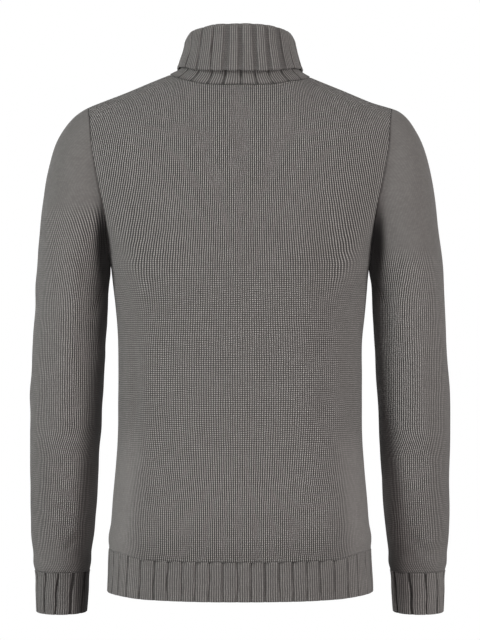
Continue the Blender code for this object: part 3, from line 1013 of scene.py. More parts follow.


def panel_gaps(points):
    """Depth of the gaps between wales and between courses, 0 where wear has felted them; and painted shade
    and light.
    """
    x, z = np.abs(points[..., 0]), points[..., 2]
    out = x / trunk_half_width(z)
    middle = smooth_step(z, -0.53, -0.46) * (1 - smooth_step(z, -0.29, -0.22))
    low = 1 - smooth_step(z, -0.52, -0.44)
    wales_close_from = 0.69 + 0.15 * smooth_step(z, -0.30, -0.18)
    wales_close_from = wales_close_from + 0.05 * (1 - smooth_step(z, -0.52, -0.46))
    closed = smooth_step(out, wales_close_from, wales_close_from + 0.14)
    wale_gap = (0.84 - 0.22 * middle + 0.12 * smooth_step(z, -0.20, -0.12)) * (1 - 0.85 * closed)
    course_gap = 0.26 + 0.30 * middle
    course_gap = course_gap * (1 - 0.8 * smooth_step(out, 0.66, 0.80) * low)
    course_gap = course_gap * (1 - 0.35 * smooth_step(out, 0.70, 0.85) * (1 - low))
    low_shade = LOW_SHADE * (1 - smooth_step(z, -0.605, -0.565))
    shade = closed * (FELTED_SHADE * (1 - low) - LOW_SIDE_LIGHT * low) + low_shade * (1 - closed)
    return wale_gap, course_gap, shade


# %% The armhole seam
# Near the shoulder point it gapes a little and shows as a dark line. Below that it is pressed shut. The
# yarn beside it gets painted shade, darkest where it gapes.
ARMHOLE_SEAM_OPEN_FROM = -0.090
ARMHOLE_SEAM_OPEN_TO = -0.083
SHUT_SEAM_SHADE = 0.45
OPEN_SEAM_SHADE = 1.15
SEAM_SHADE_WIDTH = 0.0011


def seam_open(z):
    return smooth_step(z, ARMHOLE_SEAM_OPEN_FROM, ARMHOLE_SEAM_OPEN_TO)


def seam_shade(z, distance):
    """Painted shade beside the armhole seam, at a distance from the cloth's edge."""
    shade = SHUT_SEAM_SHADE + (OPEN_SEAM_SHADE - SHUT_SEAM_SHADE) * seam_open(z)
    return shade * hump(distance, 0, SEAM_SHADE_WIDTH)


# %% Knit a panel
CROOK_HEIGHT = -0.235
PANEL_CLIMB = 0.29  # length of cloth from the underarm to the shoulder
PANEL_CROOK_SHADE = 1.1


def make_panel(side, folds, seed):
    fine = np.linspace(0, math.pi / 2, 400)
    half_width = running_length(panel_point(side, fine, np.full_like(fine, WAIST)))[-1]
    from_middle = rolled_steps(half_width, PANEL_STEP, start=False)
    half_angles = even_angles(side, from_middle / half_width)
    plain = np.arange(HEM_RIB_TOP + KNITTED_ON_GAP, UNDERARM, PANEL_STEP)
    up = rolled_steps(PANEL_CLIMB, PANEL_STEP, start=False)
    levels = np.concatenate([plain, UNDERARM + even_climbs(side, up / PANEL_CLIMB)])
    points, normals = panel_grid(side, half_angles, levels)
    across, along = panel_lengths(points, RIB_HEIGHT)
    stitched = stitched_across(across, points[..., 2])
    side_gap = half_width - from_middle
    side_gap = np.concatenate([side_gap[:0:-1], side_gap])
    top_gap = np.concatenate([np.full(len(plain), 1.0), PANEL_CLIMB - up])
    z = points[..., 2]
    armhole = smooth_step(z, -0.262, -0.240)
    side_full = np.maximum(fullness(side_gap)[None, :], armhole * (1 - seam_open(z)))
    full = fullness(top_gap)[:, None] * side_full
    calm = smooth_step(side_gap, 0.0, 0.012)[None, :] * smooth_step(top_gap, 0.0, 0.012)[:, None]
    calm = calm * smooth_step(z - HEM_RIB_TOP, 0.0, 0.010)
    surface = points + normals * (calm * panel_relief(points, folds, seed))[..., None]
    surface[..., 2] += rib_top_lift(points) * (1 - smooth_step(z - HEM_RIB_TOP, 0.0, 0.045))
    outer, inner = faces_of_cloth(let_shoulders_sag(surface), normals, full)
    wale_gap, course_gap, shade = panel_gaps(points)
    shade = shade + armhole * seam_shade(z, side_gap[None, :])
    # Painted shadow in the crook of the underarm, beside the sleeve.
    crook = hump(side_gap[None, :], 0, 0.012) * hump(z, CROOK_HEIGHT, 0.035)
    shade = shade * (1 - crook) + PANEL_CROOK_SHADE * crook
    cloth = Cloth(outer, inner, stitched, along, 0.0, 1.0, wale_gap, course_gap, shade)
    print(f"{side}: {2 * across.max():.3f} m wide, {along.max():.3f} m long with its rib")
    return add_cloth("knit_" + side, cloth, False, jersey)


back = make_panel("back", BACK_FOLDS, 3)
front = make_panel("front", FRONT_FOLDS, 8)

# %% [markdown]
# ## Ribs
#
# A rib alternates bands of plain stitches with narrow grooves where the reverse side shows. The
# cloth pulls together there and folds like an accordion, so the grooves sink on the outer face and
# stand up on the inner one. We keep a list of groove places, uneven where a hand would pull them,
# and move both faces in at each groove. Between grooves a band is slightly round.

# %% The shape of a groove and a band
RIB_DEPTH = 0.0022
GROOVE_SQUARENESS = 6
BAND_CROWN = 0.0005
RIB_GAPS = (0.50, 0.05)  # depth of the gaps between wales and between courses


def groove_share(place, grooves, half_widths):
    """1 in the middle of a groove, 0 on a band; and the height of the round band, from 0 to 1."""
    nearest = np.searchsorted(grooves, place)
    nearest = np.clip(nearest, 1, len(grooves) - 1)
    left, right = grooves[nearest - 1], grooves[nearest]
    to_left, to_right = np.abs(place - left), np.abs(right - place)
    half_widths = np.broadcast_to(half_widths, grooves.shape)
    half_width = np.where(to_left < to_right, half_widths[nearest - 1], half_widths[nearest])
    groove = hump(np.minimum(to_left, to_right), 0, half_width, GROOVE_SQUARENESS)
    middle = np.clip((place - left) / (right - left), 0, 1)
    return groove, 4 * middle * (1 - middle)


def rib_relief(groove, crown, strength, depth=RIB_DEPTH):
    return strength * (BAND_CROWN * crown - depth * groove)


# %% [markdown]
# ## Hem rib
#
# The rib at the hem was knitted first, and the panel grows out of it. Over most of the back its
# grooves stand evenly, about 18 mm apart. They spread a little where the rib turns round the side.
# Each groove wanders and leans slightly on its way down, as wool does once it has been worn.

# %% Grooves of the hem
HEM_POINTS_PER_RIB = 26
HEM_GROOVE_HALF_WIDTH = 0.0011
HEM_GROOVE_DEPTH = 0.0011
HEM_GROOVE_STEP = 0.0178
HEM_FIRST_GROOVE = 0.0035
HEM_SIDE_STEP = 0.0200
HEM_EVEN_HALF = 8


def hem_grooves(side):
    """Places of the hem's grooves, as lengths of cloth from the middle."""
    fine = np.linspace(0, math.pi / 2, 600)
    edge = panel_point(side, fine, np.full_like(fine, HEM_EDGE))
    length = running_length(edge)
    even = HEM_FIRST_GROOVE + HEM_GROOVE_STEP * np.arange(-HEM_EVEN_HALF, HEM_EVEN_HALF + 1)
    seen = np.sign(even) * np.interp(np.abs(even), edge[:, 0], length)
    beyond = []
    for sign, last in ((-1, seen[0]), (1, seen[-1])):
        room = length[-1] - abs(last)
        count = int(round(room / HEM_SIDE_STEP))
        beyond += [last + sign * room * (k + 1) / (count + 0.5) for k in range(count)]
    return np.sort(np.concatenate([seen, beyond])), length[-1]


def wander(place, height, size, seed):
    """A slight drift of the grooves from side to side on their way down."""
    return size * unevenness(place, height, 0.030, seed)


# %% Knit a hem rib
HEM_ROW_STEP = 0.0024
POCKET_DEPTH = 0.0008
POCKET_HALF_WIDTH = 0.0038
HEM_SIDE_LIFT = 0.0015
# Painted shade in the grooves and in the pocket under each groove's top, painted light on the sides.
HEM_GROOVE_SHADE = 0.13
HEM_LEFT_SHADE = 0.40  # more painted shade on the wearer's left, where the grooves are pulled together
HEM_SIDE_LIGHT = 0.23
POCKET_SHADE = 0.80


def make_hem_rib(side, seed):
    grooves, half_width = hem_grooves(side)
    step = half_width / (HEM_POINTS_PER_RIB * len(grooves) / 2)
    from_middle = rolled_steps(half_width, step, start=False)
    fine = np.linspace(0, math.pi / 2, 600)
    length = running_length(panel_point(side, fine, np.full_like(fine, HEM_EDGE)))
    half_angles = np.interp(from_middle, length, fine)
    height = RIB_HEIGHT - KNITTED_ON_GAP
    down = rolled_steps(height, HEM_ROW_STEP, end=False)
    points, normals = panel_grid(side, half_angles, HEM_EDGE + down)
    across, along = panel_lengths(points, 0.0)
    across = np.broadcast_to(across[:1], across.shape)
    side_gap = half_width - np.abs(across[0])
    full = fullness(down)[:, None] * fullness(side_gap)[None, :]
    place = across + wander(across, along, 0.0008, seed)
    groove, crown = groove_share(place, grooves, HEM_GROOVE_HALF_WIDTH)
    at_side = smooth_step(side_gap, 0.0, 0.004)[None, :]
    strength = (0.75 + 0.25 * smooth_step(along, 0.0, 0.010)) * at_side
    relief = rib_relief(groove, crown, strength, HEM_GROOVE_DEPTH)
    relief = relief + 0.0005 * unevenness(across, along, 0.05, seed) * at_side
    out = np.abs(points[..., 0])
    beside, _ = groove_share(place + 0.0026, grooves, POCKET_HALF_WIDTH)
    pocket = beside * hump(height - along, 0, 0.0020) * (1 - smooth_step(out, 0.11, 0.14))
    relief = relief - POCKET_DEPTH * pocket
    surface = points + normals * relief[..., None]
    surface[..., 2] += HEM_SIDE_LIFT * smooth_step(out, 0.120, 0.170) * (1 - along / height)
    surface[..., 2] += rib_top_lift(points) * along / height
    outer, inner = faces_of_cloth(surface, normals, full)
    # painted shade in the grooves and pockets, painted light on the sides
    left_side = smooth_step(points[..., 0], 0.05, 0.11)
    shade = (HEM_GROOVE_SHADE + HEM_LEFT_SHADE * left_side) * groove + POCKET_SHADE * pocket
    shade = shade - HEM_SIDE_LIGHT * smooth_step(out, 0.105, 0.155)
    cloth = Cloth(outer, inner, across, along, groove, 1 - groove, *RIB_GAPS, np.minimum(shade, 1))
    print(f"hem rib, {side}: {2 * half_width:.3f} m, {len(grooves)} grooves")
    return add_cloth("knit_hem_rib_" + side, cloth, False, rib)


hem_rib_back = make_hem_rib("back", 21)
hem_rib_front = make_hem_rib("front", 22)

# %% [markdown]
# ## Sleeves
#
# A sleeve is one panel joined under the arm. Below the underarm it is a plain tube that bends
# forward a little at the elbow. Above, each column of the grid leaves the tube and curves over to
# its own point of the armhole seam, so the sleeve head is round and fits the seam exactly.

# %% The sleeve's table and form
HEAD_SLOPE_TOP = math.radians(22.3)
HEAD_SLOPE_UNDERARM = math.radians(82)
HEAD_SLOPE_SPREAD = 1.2
HEAD_BULGE = 0.25
HEAD_REACH_BELOW = 0.56
HEAD_REACH_ABOVE = 0.235
SLEEVE_SEAM_GAP = 0.00005

Sleeve = namedtuple("Sleeve", "height centre_x centre_y half_width half_depth")
SLEEVE = [
    Sleeve(-0.270, 0.2205, -0.0060, 0.0476, 0.0600),
    Sleeve(-0.347, 0.2247, -0.0090, 0.0478, 0.0575),
    Sleeve(-0.427, 0.2294, -0.0140, 0.0476, 0.0540),
    Sleeve(-0.507, 0.2324, -0.0220, 0.0454, 0.0500),
    Sleeve(-0.587, 0.2352, -0.0310, 0.0429, 0.0450),
    Sleeve(-0.628, 0.2369, -0.0355, 0.0405, 0.0420),
    Sleeve(-0.644, 0.2369, -0.0375, 0.0394, 0.0404),
    Sleeve(-0.6545, 0.2369, -0.0385, 0.0366, 0.0369),
    Sleeve(-0.683, 0.2375, -0.0410, 0.0351, 0.0353),
    Sleeve(-0.709, 0.2382, -0.0430, 0.0337, 0.0341),
]
sleeve_size = {name: curve_through(SLEEVE, name) for name in Sleeve._fields[1:]}


def armhole_table(count):
    """Climbs up the armhole, and the turn around the sleeve that belongs to each."""
    climbs = np.linspace(0, 1, count) ** 2
    length = np.zeros_like(climbs)
    for side in FACING:
        edge = panel_point(side, np.full_like(climbs, math.pi / 2), UNDERARM + climbs)
        length += running_length(edge)
    return climbs, 1 - length / length[-1]


ARMHOLE_CLIMBS, ARMHOLE_TURNS = armhole_table(500)


def sleeve_tube(turn, height):
    """A point of the sleeve's plain tube: turn is 0 outside, +0.5 at the back, 1 inside."""
    x = sleeve_size["centre_x"](height) + sleeve_size["half_width"](height) * np.cos(math.pi * turn)
    y = sleeve_size["centre_y"](height) + sleeve_size["half_depth"](height) * np.sin(math.pi * turn)
    return np.stack([x, y, height + 0 * x], axis=-1)


def sleeve_point(turn, level):
    """A point of the whole sleeve; level above SLEEVE_RING runs to SLEEVE_RING + 1 at the armhole."""
    turn = (turn + 1) % 2 - 1
    tube = sleeve_tube(turn, np.minimum(level, SLEEVE_RING))
    share = np.clip(level - SLEEVE_RING, 0, 1)[..., None]
    climb = np.interp(np.abs(turn), ARMHOLE_TURNS[::-1], ARMHOLE_CLIMBS[::-1])
    quarter = np.full_like(climb, math.pi / 2)
    on_back = panel_point("back", quarter, UNDERARM + climb)
    on_front = panel_point("front", quarter, UNDERARM + climb)
    seam = np.where((turn >= 0)[..., None], on_back, on_front)

    slope = HEAD_SLOPE_TOP + (HEAD_SLOPE_UNDERARM - HEAD_SLOPE_TOP) * np.abs(turn) ** HEAD_SLOPE_SPREAD
    bulge = HEAD_BULGE * np.sin(math.pi * turn)
    leaving = unit(np.stack([np.cos(slope), bulge, -np.sin(slope)], axis=-1))
    end = seam + leaving * SLEEVE_SEAM_GAP
    start = sleeve_tube(turn, np.full_like(turn, SLEEVE_RING))
    rising = unit(start - sleeve_tube(turn, np.full_like(turn, SLEEVE_RING - 0.005)))
    length = np.linalg.norm(end - start, axis=-1, keepdims=True)
    low = start + rising * length * HEAD_REACH_BELOW
    high = end + leaving * length * HEAD_REACH_ABOVE
    head = (1 - share) ** 3 * start + 3 * share * (1 - share) ** 2 * low
    head = head + 3 * share**2 * (1 - share) * high + share**3 * end
    return np.where(share > 0, head, tube)


def sleeve_normals(turn, level):
    """Normals of the sleeve, from both neighbours around it and one along it."""
    step = 1e-4
    along = np.where(level > SLEEVE_RING + 0.5, -step, step)
    d_turn = sleeve_point(turn + step, level) - sleeve_point(turn - step, level)
    d_level = (sleeve_point(turn, level + along) - sleeve_point(turn, level)) / along[..., None]
    return unit(np.cross(d_turn, d_level))


# %% Folds of the sleeves
# Paths are (turn, z): the turn is 0 outside, 0.5 at the back and 1 or -1 inside. A fold's width is
# in metres, so the turn is changed into a length first.
SLEEVE_GIRTH_HALF = 0.165
LEFT_SLEEVE_FOLDS = [
    Fold([(0.62, -0.235), (0.70, -0.320), (0.66, -0.400)], 0.0100, 0.0022),
    Fold([(0.86, -0.265), (0.74, -0.300), (0.60, -0.318)], 0.0060, 0.0016),
    Fold([(0.90, -0.290), (0.80, -0.345), (0.70, -0.372)], 0.0055, 0.0014),
    Fold([(0.31, -0.300), (0.35, -0.400), (0.29, -0.490)], 0.0110, 0.0011),
    Fold([(-0.30, -0.425), (-0.50, -0.440), (-0.70, -0.425)], 0.0070, 0.0028),
    Fold([(-0.35, -0.465), (-0.55, -0.458), (-0.75, -0.475)], 0.0065, 0.0024),
    Fold([(0.70, -0.455), (0.55, -0.470), (0.40, -0.462)], 0.0080, 0.0009),
    Fold([(0.75, -0.600), (0.55, -0.622), (0.35, -0.612)], 0.0060, 0.0012),
    Fold([(-0.20, -0.610), (-0.45, -0.625), (-0.70, -0.612)], 0.0060, 0.0016),
    Fold([(-0.60, -0.230), (-0.66, -0.300), (-0.60, -0.370)], 0.0090, 0.0020),
]
RIGHT_SLEEVE_FOLDS = [
    Fold([(0.60, -0.240), (0.72, -0.310), (0.70, -0.385)], 0.0100, 0.0020),
    Fold([(0.88, -0.262), (0.76, -0.290), (0.64, -0.300)], 0.0060, 0.0015),
    Fold([(0.30, -0.330), (0.34, -0.430), (0.28, -0.520)], 0.0110, 0.0013),
    Fold([(-0.28, -0.430), (-0.50, -0.448), (-0.72, -0.436)], 0.0070, 0.0027),
    Fold([(-0.38, -0.472), (-0.55, -0.466), (-0.72, -0.480)], 0.0065, 0.0022),
    Fold([(0.66, -0.600), (0.45, -0.625), (0.20, -0.618)], 0.0060, 0.0014),
    Fold([(-0.15, -0.605), (-0.45, -0.622), (-0.75, -0.610)], 0.0060, 0.0015),
    Fold([(-0.60, -0.235), (-0.68, -0.300), (-0.62, -0.360)], 0.0090, 0.0020),
]


# %% How far a sleeve's cloth moves outwards
SEAM_RIDGE = 0.0009
SEAM_STITCH = 0.0070
ABOVE_CUFF_DRAW_IN = 0.0016
HEAD_SLACK = {"left": 0.0, "right": 0.0024}
CROOK_FULLNESS = 0.0018  # the cloth bunches up a little below the underarm


def sleeve_relief(hand, turn, z, to_seam, folds, seed):
    """Folds, slow unevenness, fullness and slack of a sleeve, and the stitched ridge at its seam."""
    around = turn * SLEEVE_GIRTH_HALF
    scaled = [fold._replace(path=[(t * SLEEVE_GIRTH_HALF, h) for t, h in fold.path]) for fold in folds]
    relief = folds_relief(around, z, scaled) + 0.0006 * unevenness(around, z, 0.04, seed)
    calm = smooth_step(to_seam, 0.0, 0.016) * smooth_step(z - SLEEVE_END, 0.0, 0.010)
    relief = calm * relief - ABOVE_CUFF_DRAW_IN * hump(z - SLEEVE_END, 0.022, 0.018)
    bunched = smooth_step(np.abs(turn), 0.80, 0.95) * hump(z, -0.258, 0.012)
    relief += CROOK_FULLNESS * bunched
    outside = np.clip(np.cos(math.pi * turn), 0, 1)
    at_head = smooth_step(z, -0.26, -0.19)
    relief -= HEAD_SLACK[hand] * outside * at_head * (1 - smooth_step(z, -0.075, -0.045))
    stitched_down = (1 - seam_open(z)) * (0.5 + 0.5 * np.sin(z * 2 * math.pi / SEAM_STITCH))
    return relief + SEAM_RIDGE * stitched_down * hump(to_seam, 0.0050, 0.0022)


# %% Shade and gaps of a sleeve
FELTED_FROM = {"left": -0.195, "right": -0.252}  # wear has felted the sleeve heads above this level
INSIDE_SHADE = 0.58
INMOST_SHADE = 0.42
# painted light on the inner forearm
FOREARM_LIGHT = 0.24
SLEEVE_CROOK_SHADE = 1.3
CROOK_TOP = -0.190  # the crook's painted shadow begins beside the seam here, and widens downwards


def inside_shade(turn, z):
    """Painted shade on the inside of a sleeve, darkest in the crook of the underarm; painted light on the
    inner forearm.
    """
    inward = np.abs((turn + 1) % 2 - 1)
    shade = INSIDE_SHADE * smooth_step(inward, 0.64, 0.78) + INMOST_SHADE * smooth_step(inward, 0.76, 0.90)
    forearm = smooth_step(-z, 0.48, 0.56) * (1 - smooth_step(-z, 0.60, 0.65))
    shade = shade * (1 - 0.5 * forearm) * smooth_step(-z, 0.13, 0.19)
    shade = shade - FOREARM_LIGHT * hump(inward, 0.65, 0.09) * smooth_step(-z, 0.48, 0.55)
    below = CROOK_TOP - z
    crook_from = 0.60 + 1.9 * below
    crook = smooth_step((inward - crook_from) / np.maximum(0.06 + 0.6 * below, 0.04), 0, 1)
    crook = crook * hump(z, CROOK_HEIGHT, 0.060, 4)
    return shade * (1 - crook) + SLEEVE_CROOK_SHADE * crook


def sleeve_gaps(hand, turn, z, to_seam):
    """Depth of the gaps between wales, nearly 0 where wear has felted them; and painted shade and light.
    """
    felted = smooth_step(z, FELTED_FROM[hand], FELTED_FROM[hand] + 0.030)
    inward = smooth_step(np.abs(turn), 0.45, 0.62)
    wale_gap = (0.85 - 0.22 * smooth_step(z, -0.50, -0.46) * (1 - inward)) * (1 - 0.95 * felted)
    wale_gap = wale_gap * (1 - 0.40 * smooth_step(-z, 0.60, 0.635))
    shade = FELTED_SHADE * felted + seam_shade(z, to_seam)
    return wale_gap, shade + inside_shade(turn, z) * (1 - np.minimum(shade, 1))


# %% Rows, columns and stitches of a sleeve
SLEEVE_STEP = 0.0030
SLEEVE_COLUMNS = 120
HEAD_ROWS = 80
LOWER_WALE = 0.00255  # width of a wale below the elbow
UPPER_WALE_MORE = 0.00040
SLEEVE_LEAN = 2.16  # the wales lean outwards more and more on the way up
SLEEVE_LEAN_FROM = -0.320


def sleeve_grid():
    """Turn and level of each point, its distance to the armhole seam, and the count of tube rows."""
    turns = np.linspace(-1, 1, SLEEVE_COLUMNS, endpoint=False)
    plain = np.arange(SLEEVE_END + KNITTED_ON_GAP, SLEEVE_RING, SLEEVE_STEP)
    plain_level = np.repeat(plain[:, None], SLEEVE_COLUMNS, axis=1)
    reach = np.linalg.norm(sleeve_point(turns, np.full_like(turns, SLEEVE_RING + 1))
                           - sleeve_point(turns, np.full_like(turns, SLEEVE_RING)), axis=-1)
    roll = ROLL_RADIUS * (1 - np.cos(np.linspace(math.pi / 2, 0, ROLL_STEPS)))
    shares = np.linspace(0, 1, HEAD_ROWS + 1)[:-1, None] * np.ones_like(turns)
    rolled = 1 - roll[:, None] / reach
    shares = np.concatenate([shares * rolled[0], rolled])
    level = np.concatenate([plain_level, SLEEVE_RING + shares])
    to_seam = np.concatenate([np.full(plain_level.shape, 1.0), (1 - shares) * reach])
    return np.broadcast_to(turns, level.shape), level, to_seam, len(plain)


def sleeve_lengths(closed, tube_rows):
    """Cloth around from the outside, the same all the way up the head; and up from the cuff's edge."""
    tube, head = closed[:tube_rows], closed[tube_rows:]
    on_head = np.broadcast_to(running_length(head[0]), head.shape[:2])
    across = np.concatenate([running_length(tube, axis=1), on_head])
    middle = SLEEVE_COLUMNS // 2
    return across - across[:, middle : middle + 1], running_length(closed) + (SLEEVE_END - CUFF_EDGE)


def stitched_around(across, z):
    """Across the sleeve as its stitches count it, so that the wales widen and lean."""
    wale = LOWER_WALE + UPPER_WALE_MORE * smooth_step(z, -0.505, -0.455)
    stitched = across * JERSEY_GAUGE.wale / wale
    return stitched + SLEEVE_LEAN * np.clip(z - SLEEVE_LEAN_FROM, 0, 0.17) ** 2


# %% Knit a sleeve


def make_sleeve(hand, folds, seed):
    turn, level, to_seam, tube_rows = sleeve_grid()
    points = sleeve_point(turn, level)
    normals = sleeve_normals(turn, level)
    closed = close_round(points)
    across, along = sleeve_lengths(closed, tube_rows)
    z = points[..., 2]
    surface = points + normals * sleeve_relief(hand, turn, z, to_seam, folds, seed)[..., None]
    full = np.maximum(fullness(to_seam), 1 - seam_open(z))
    faces = mirror_right(hand, faces_of_cloth(surface, normals, full))
    outer, inner = [let_shoulders_sag(face) for face in faces]
    stitched = stitched_around(across, closed[..., 2])
    wale_gap, shade = sleeve_gaps(hand, turn, z, to_seam)
    cloth = Cloth(outer, inner, stitched, along, 0.0, 1.0, wale_gap, 0.25 * wale_gap, shade)
    print(f"sleeve, {hand}: {np.ptp(across[tube_rows]):.3f} m round, {along.max():.3f} m with its cuff")
    return add_cloth("knit_sleeve_" + hand, cloth, True, jersey)


sleeve_left = make_sleeve("left", LEFT_SLEEVE_FOLDS, 31)
sleeve_right = make_sleeve("right", RIGHT_SLEEVE_FOLDS, 32)

# %% [markdown]
# ## Cuffs
#
# A cuff is a short rib tube, tighter than the sleeve, which therefore bags over it. It has twelve
# grooves. We list those at the back one by one, in degrees around the wrist, because the arm's twist
# pulls some of them together and opens others. The rest follow evenly.

# %% Grooves of the cuffs
CUFF_RIBS = 12
CUFF_POINTS_PER_RIB = 24
CUFF_GROOVE_HALF_WIDTH = 0.0014
CUFF_GROOVE_DEPTH = 0.0018
CUFF_GROOVE_SHADE = 0.45
# A groove's shade is the painted shade in it.
Groove = namedtuple("Groove", "degrees half_width shade")
CUFF_GROOVES = {
    "left": [
        Groove(-57.0, 0.0020, 0.80),
        Groove(-25.5, 0.0021, 0.60),
        Groove(7.3, 0.0011, 0.85),
        Groove(35.2, 0.0011, 0.85),
    ],
    "right": [
        Groove(-62.0, 0.0024, 1.25),
        Groove(-20.5, 0.0016, 0.75),
        Groove(13.1, 0.0010, 0.75),
        Groove(42.0, 0.0010, 0.75),
    ],
}
CUFF_INSIDE = {"left": 1.35, "right": 0.15}  # how much of the sleeve's painted inside shade the cuff takes
# painted light on the right cuff
CUFF_LIGHT = {"left": 0.0, "right": 0.28}
CUFF_DRIFT = {"left": -6.0, "right": -5.0}  # degrees by which the grooves lean on their way down


def all_grooves(seen, count, girth):
    """Groove places all round, as lengths in rising order: the given ones, and even ones over the rest."""
    rest = girth - (seen[-1] - seen[0])
    missing = count - len(seen)
    others = seen[-1] + rest * (np.arange(missing) + 1) / (missing + 1)
    return np.concatenate([seen, others])


def groove_values(seen, name, usual, count):
    """One value for each groove: those of the grooves that are listed, and the usual one for the rest."""
    return np.array([getattr(groove, name) for groove in seen] + [usual] * (count - len(seen)))


def every_turn(grooves, girth):
    """The same places one turn before and one turn after as well, so that the nearest is found."""
    return np.concatenate([grooves - girth, grooves, grooves + girth])


def nearest_groove(place, grooves, count):
    """Number of the nearest groove, counted round the piece."""
    return np.argmin(np.abs(place[..., None] - grooves), axis=-1) % count


# %% Knit a cuff
CUFF_ROW_STEP = 0.0022


def make_cuff(hand, seed):
    columns = CUFF_RIBS * CUFF_POINTS_PER_RIB
    turns = np.linspace(-1, 1, columns, endpoint=False)
    height = SLEEVE_END - KNITTED_ON_GAP - CUFF_EDGE
    up = rolled_steps(height, CUFF_ROW_STEP, end=False)
    turn, level = np.meshgrid(turns, CUFF_EDGE + up)
    points = sleeve_point(turn, level)
    normals = sleeve_normals(turn, level)
    closed = close_round(points)
    across = np.broadcast_to(running_length(closed[0]), closed.shape[:2])
    girth = float(across.max())
    across = across - girth / 2
    along = running_length(closed)
    down = 1 - (level - CUFF_EDGE) / height
    degrees = 90 - turn * 180
    seen = CUFF_GROOVES[hand]
    seen_at = np.array([groove.degrees for groove in seen]) * girth / 360
    grooves = every_turn(all_grooves(seen_at, CUFF_RIBS, girth), girth)
    half_widths = groove_values(seen, "half_width", CUFF_GROOVE_HALF_WIDTH, CUFF_RIBS)
    shades = groove_values(seen, "shade", CUFF_GROOVE_SHADE, CUFF_RIBS)
    place = (degrees + CUFF_DRIFT[hand] * (down - 0.5)) * girth / 360
    place = place + wander(place, level, 0.0008, seed)
    groove, crown = groove_share(place, grooves, np.tile(half_widths, 3))
    nearest = nearest_groove(place, grooves, CUFF_RIBS)
    strength = 0.75 + 0.25 * smooth_step(along[:, :-1], 0.0, 0.010)
    surface = points + normals * rib_relief(groove, crown, strength, CUFF_GROOVE_DEPTH)[..., None]
    full = fullness(up)[:, None] * np.ones(columns)
    outer, inner = mirror_right(hand, faces_of_cloth(surface, normals, full))
    # Painted shade from the sleeve's inside and in the grooves, and painted light on the right cuff.
    shade = CUFF_INSIDE[hand] * inside_shade(turn, points[..., 2]) - CUFF_LIGHT[hand]
    shade = shade + groove * np.maximum(shades[nearest] - shade, 0)
    cloth = Cloth(outer, inner, across, along, groove, 1 - groove, *RIB_GAPS, shade)
    print(f"cuff, {hand}: {girth:.3f} m round")
    return add_cloth("knit_cuff_" + hand, cloth, True, rib)


cuff_left = make_cuff("left", 41)
cuff_right = make_cuff("right", 42)

# %% [markdown]
# ## Collar
#
# The collar is one long rib tube. It is linked to the neck, stands up, folds over and comes down
# outside itself. Its bind-off edge lies on the shoulders and flares slightly at each band. We lay
# rings on a table of sizes, run a smooth curve through them from the neck seam to the edge, and then
# press the grooves in. On the turned part and on the stand the grooves are at the same places, so
# the two layers nest and never cross.

# %% The collar's table and rings
Collar = namedtuple(
    "Collar", "half_width back front rise_back rise_side rise_front roundness corner_drop"
)
COLLAR = [
    Collar(0.0788, 0.0620, 0.0725, -0.0080, 0.0066, -0.0360, 2.30, 0.0050),
    Collar(0.0705, 0.0575, 0.0655, 0.0220, 0.0310, -0.0060, 2.30, 0.0030),
    Collar(0.0662, 0.0540, 0.0605, 0.0550, 0.0435, 0.0285, 2.20, 0.0000),
    Collar(0.0684, 0.0562, 0.0627, 0.0603, 0.0488, 0.0340, 2.20, 0.0000),
    Collar(0.0706, 0.0584, 0.0649, 0.0565, 0.0448, 0.0300, 2.20, 0.0000),
    Collar(0.0725, 0.0612, 0.0682, 0.0425, 0.0370, 0.0160, 2.20, 0.0005),
    Collar(0.0745, 0.0640, 0.0715, 0.0285, 0.0290, 0.0015, 2.25, 0.0020),
    Collar(0.0815, 0.0712, 0.0790, -0.0010, 0.0090, -0.0300, 2.35, 0.0045),
]
FOLD_RING = 4  # the ring on top of the fold, counted from the neck seam


def collar_rings(angles):
    """The collar's middle surface: a ring at the neck seam, and one for each row of its table."""
    facing_back = np.cos(angles)
    x_share = np.sin(angles)
    behind = facing_back >= 0
    quarter = np.arcsin(np.clip(np.abs(x_share), 0, 1))
    back_seam = neck_seam("back", quarter)
    front_seam = neck_seam("front", quarter)
    seam_y = np.where(behind, back_seam[1], -front_seam[1])
    seam_z = np.where(behind, back_seam[2], front_seam[2])
    seam = np.stack([NECK_HALF_WIDTH * x_share, seam_y, seam_z], axis=-1)
    rings = []
    for row in COLLAR:
        depth = np.where(behind, row.back, -row.front) * rounded_share(angles, row.roundness)
        tilt = (row.rise_back - row.rise_front) / 2
        lift = (row.rise_back + row.rise_front) / 2 - row.rise_side
        z = row.rise_side + tilt * facing_back + lift * facing_back**2
        z = z - row.corner_drop * np.where(behind, np.sin(2 * angles) ** 2, 0)
        rings.append(np.stack([row.half_width * x_share, depth, z], axis=-1))
    return np.array([seam + unit(rings[0] - seam) * CURVED_SEAM_GAP] + rings)


def smooth_rows(rings, step):
    """Rows on a smooth curve through the rings, their distance from the seam, and that of the rings."""
    spans = np.linalg.norm(np.diff(rings, axis=0), axis=-1).mean(axis=1)
    knots = np.concatenate([[0], np.cumsum(spans)])
    places = rolled_steps(knots[-1], step)
    return smooth_through(knots, rings, places), places, knots


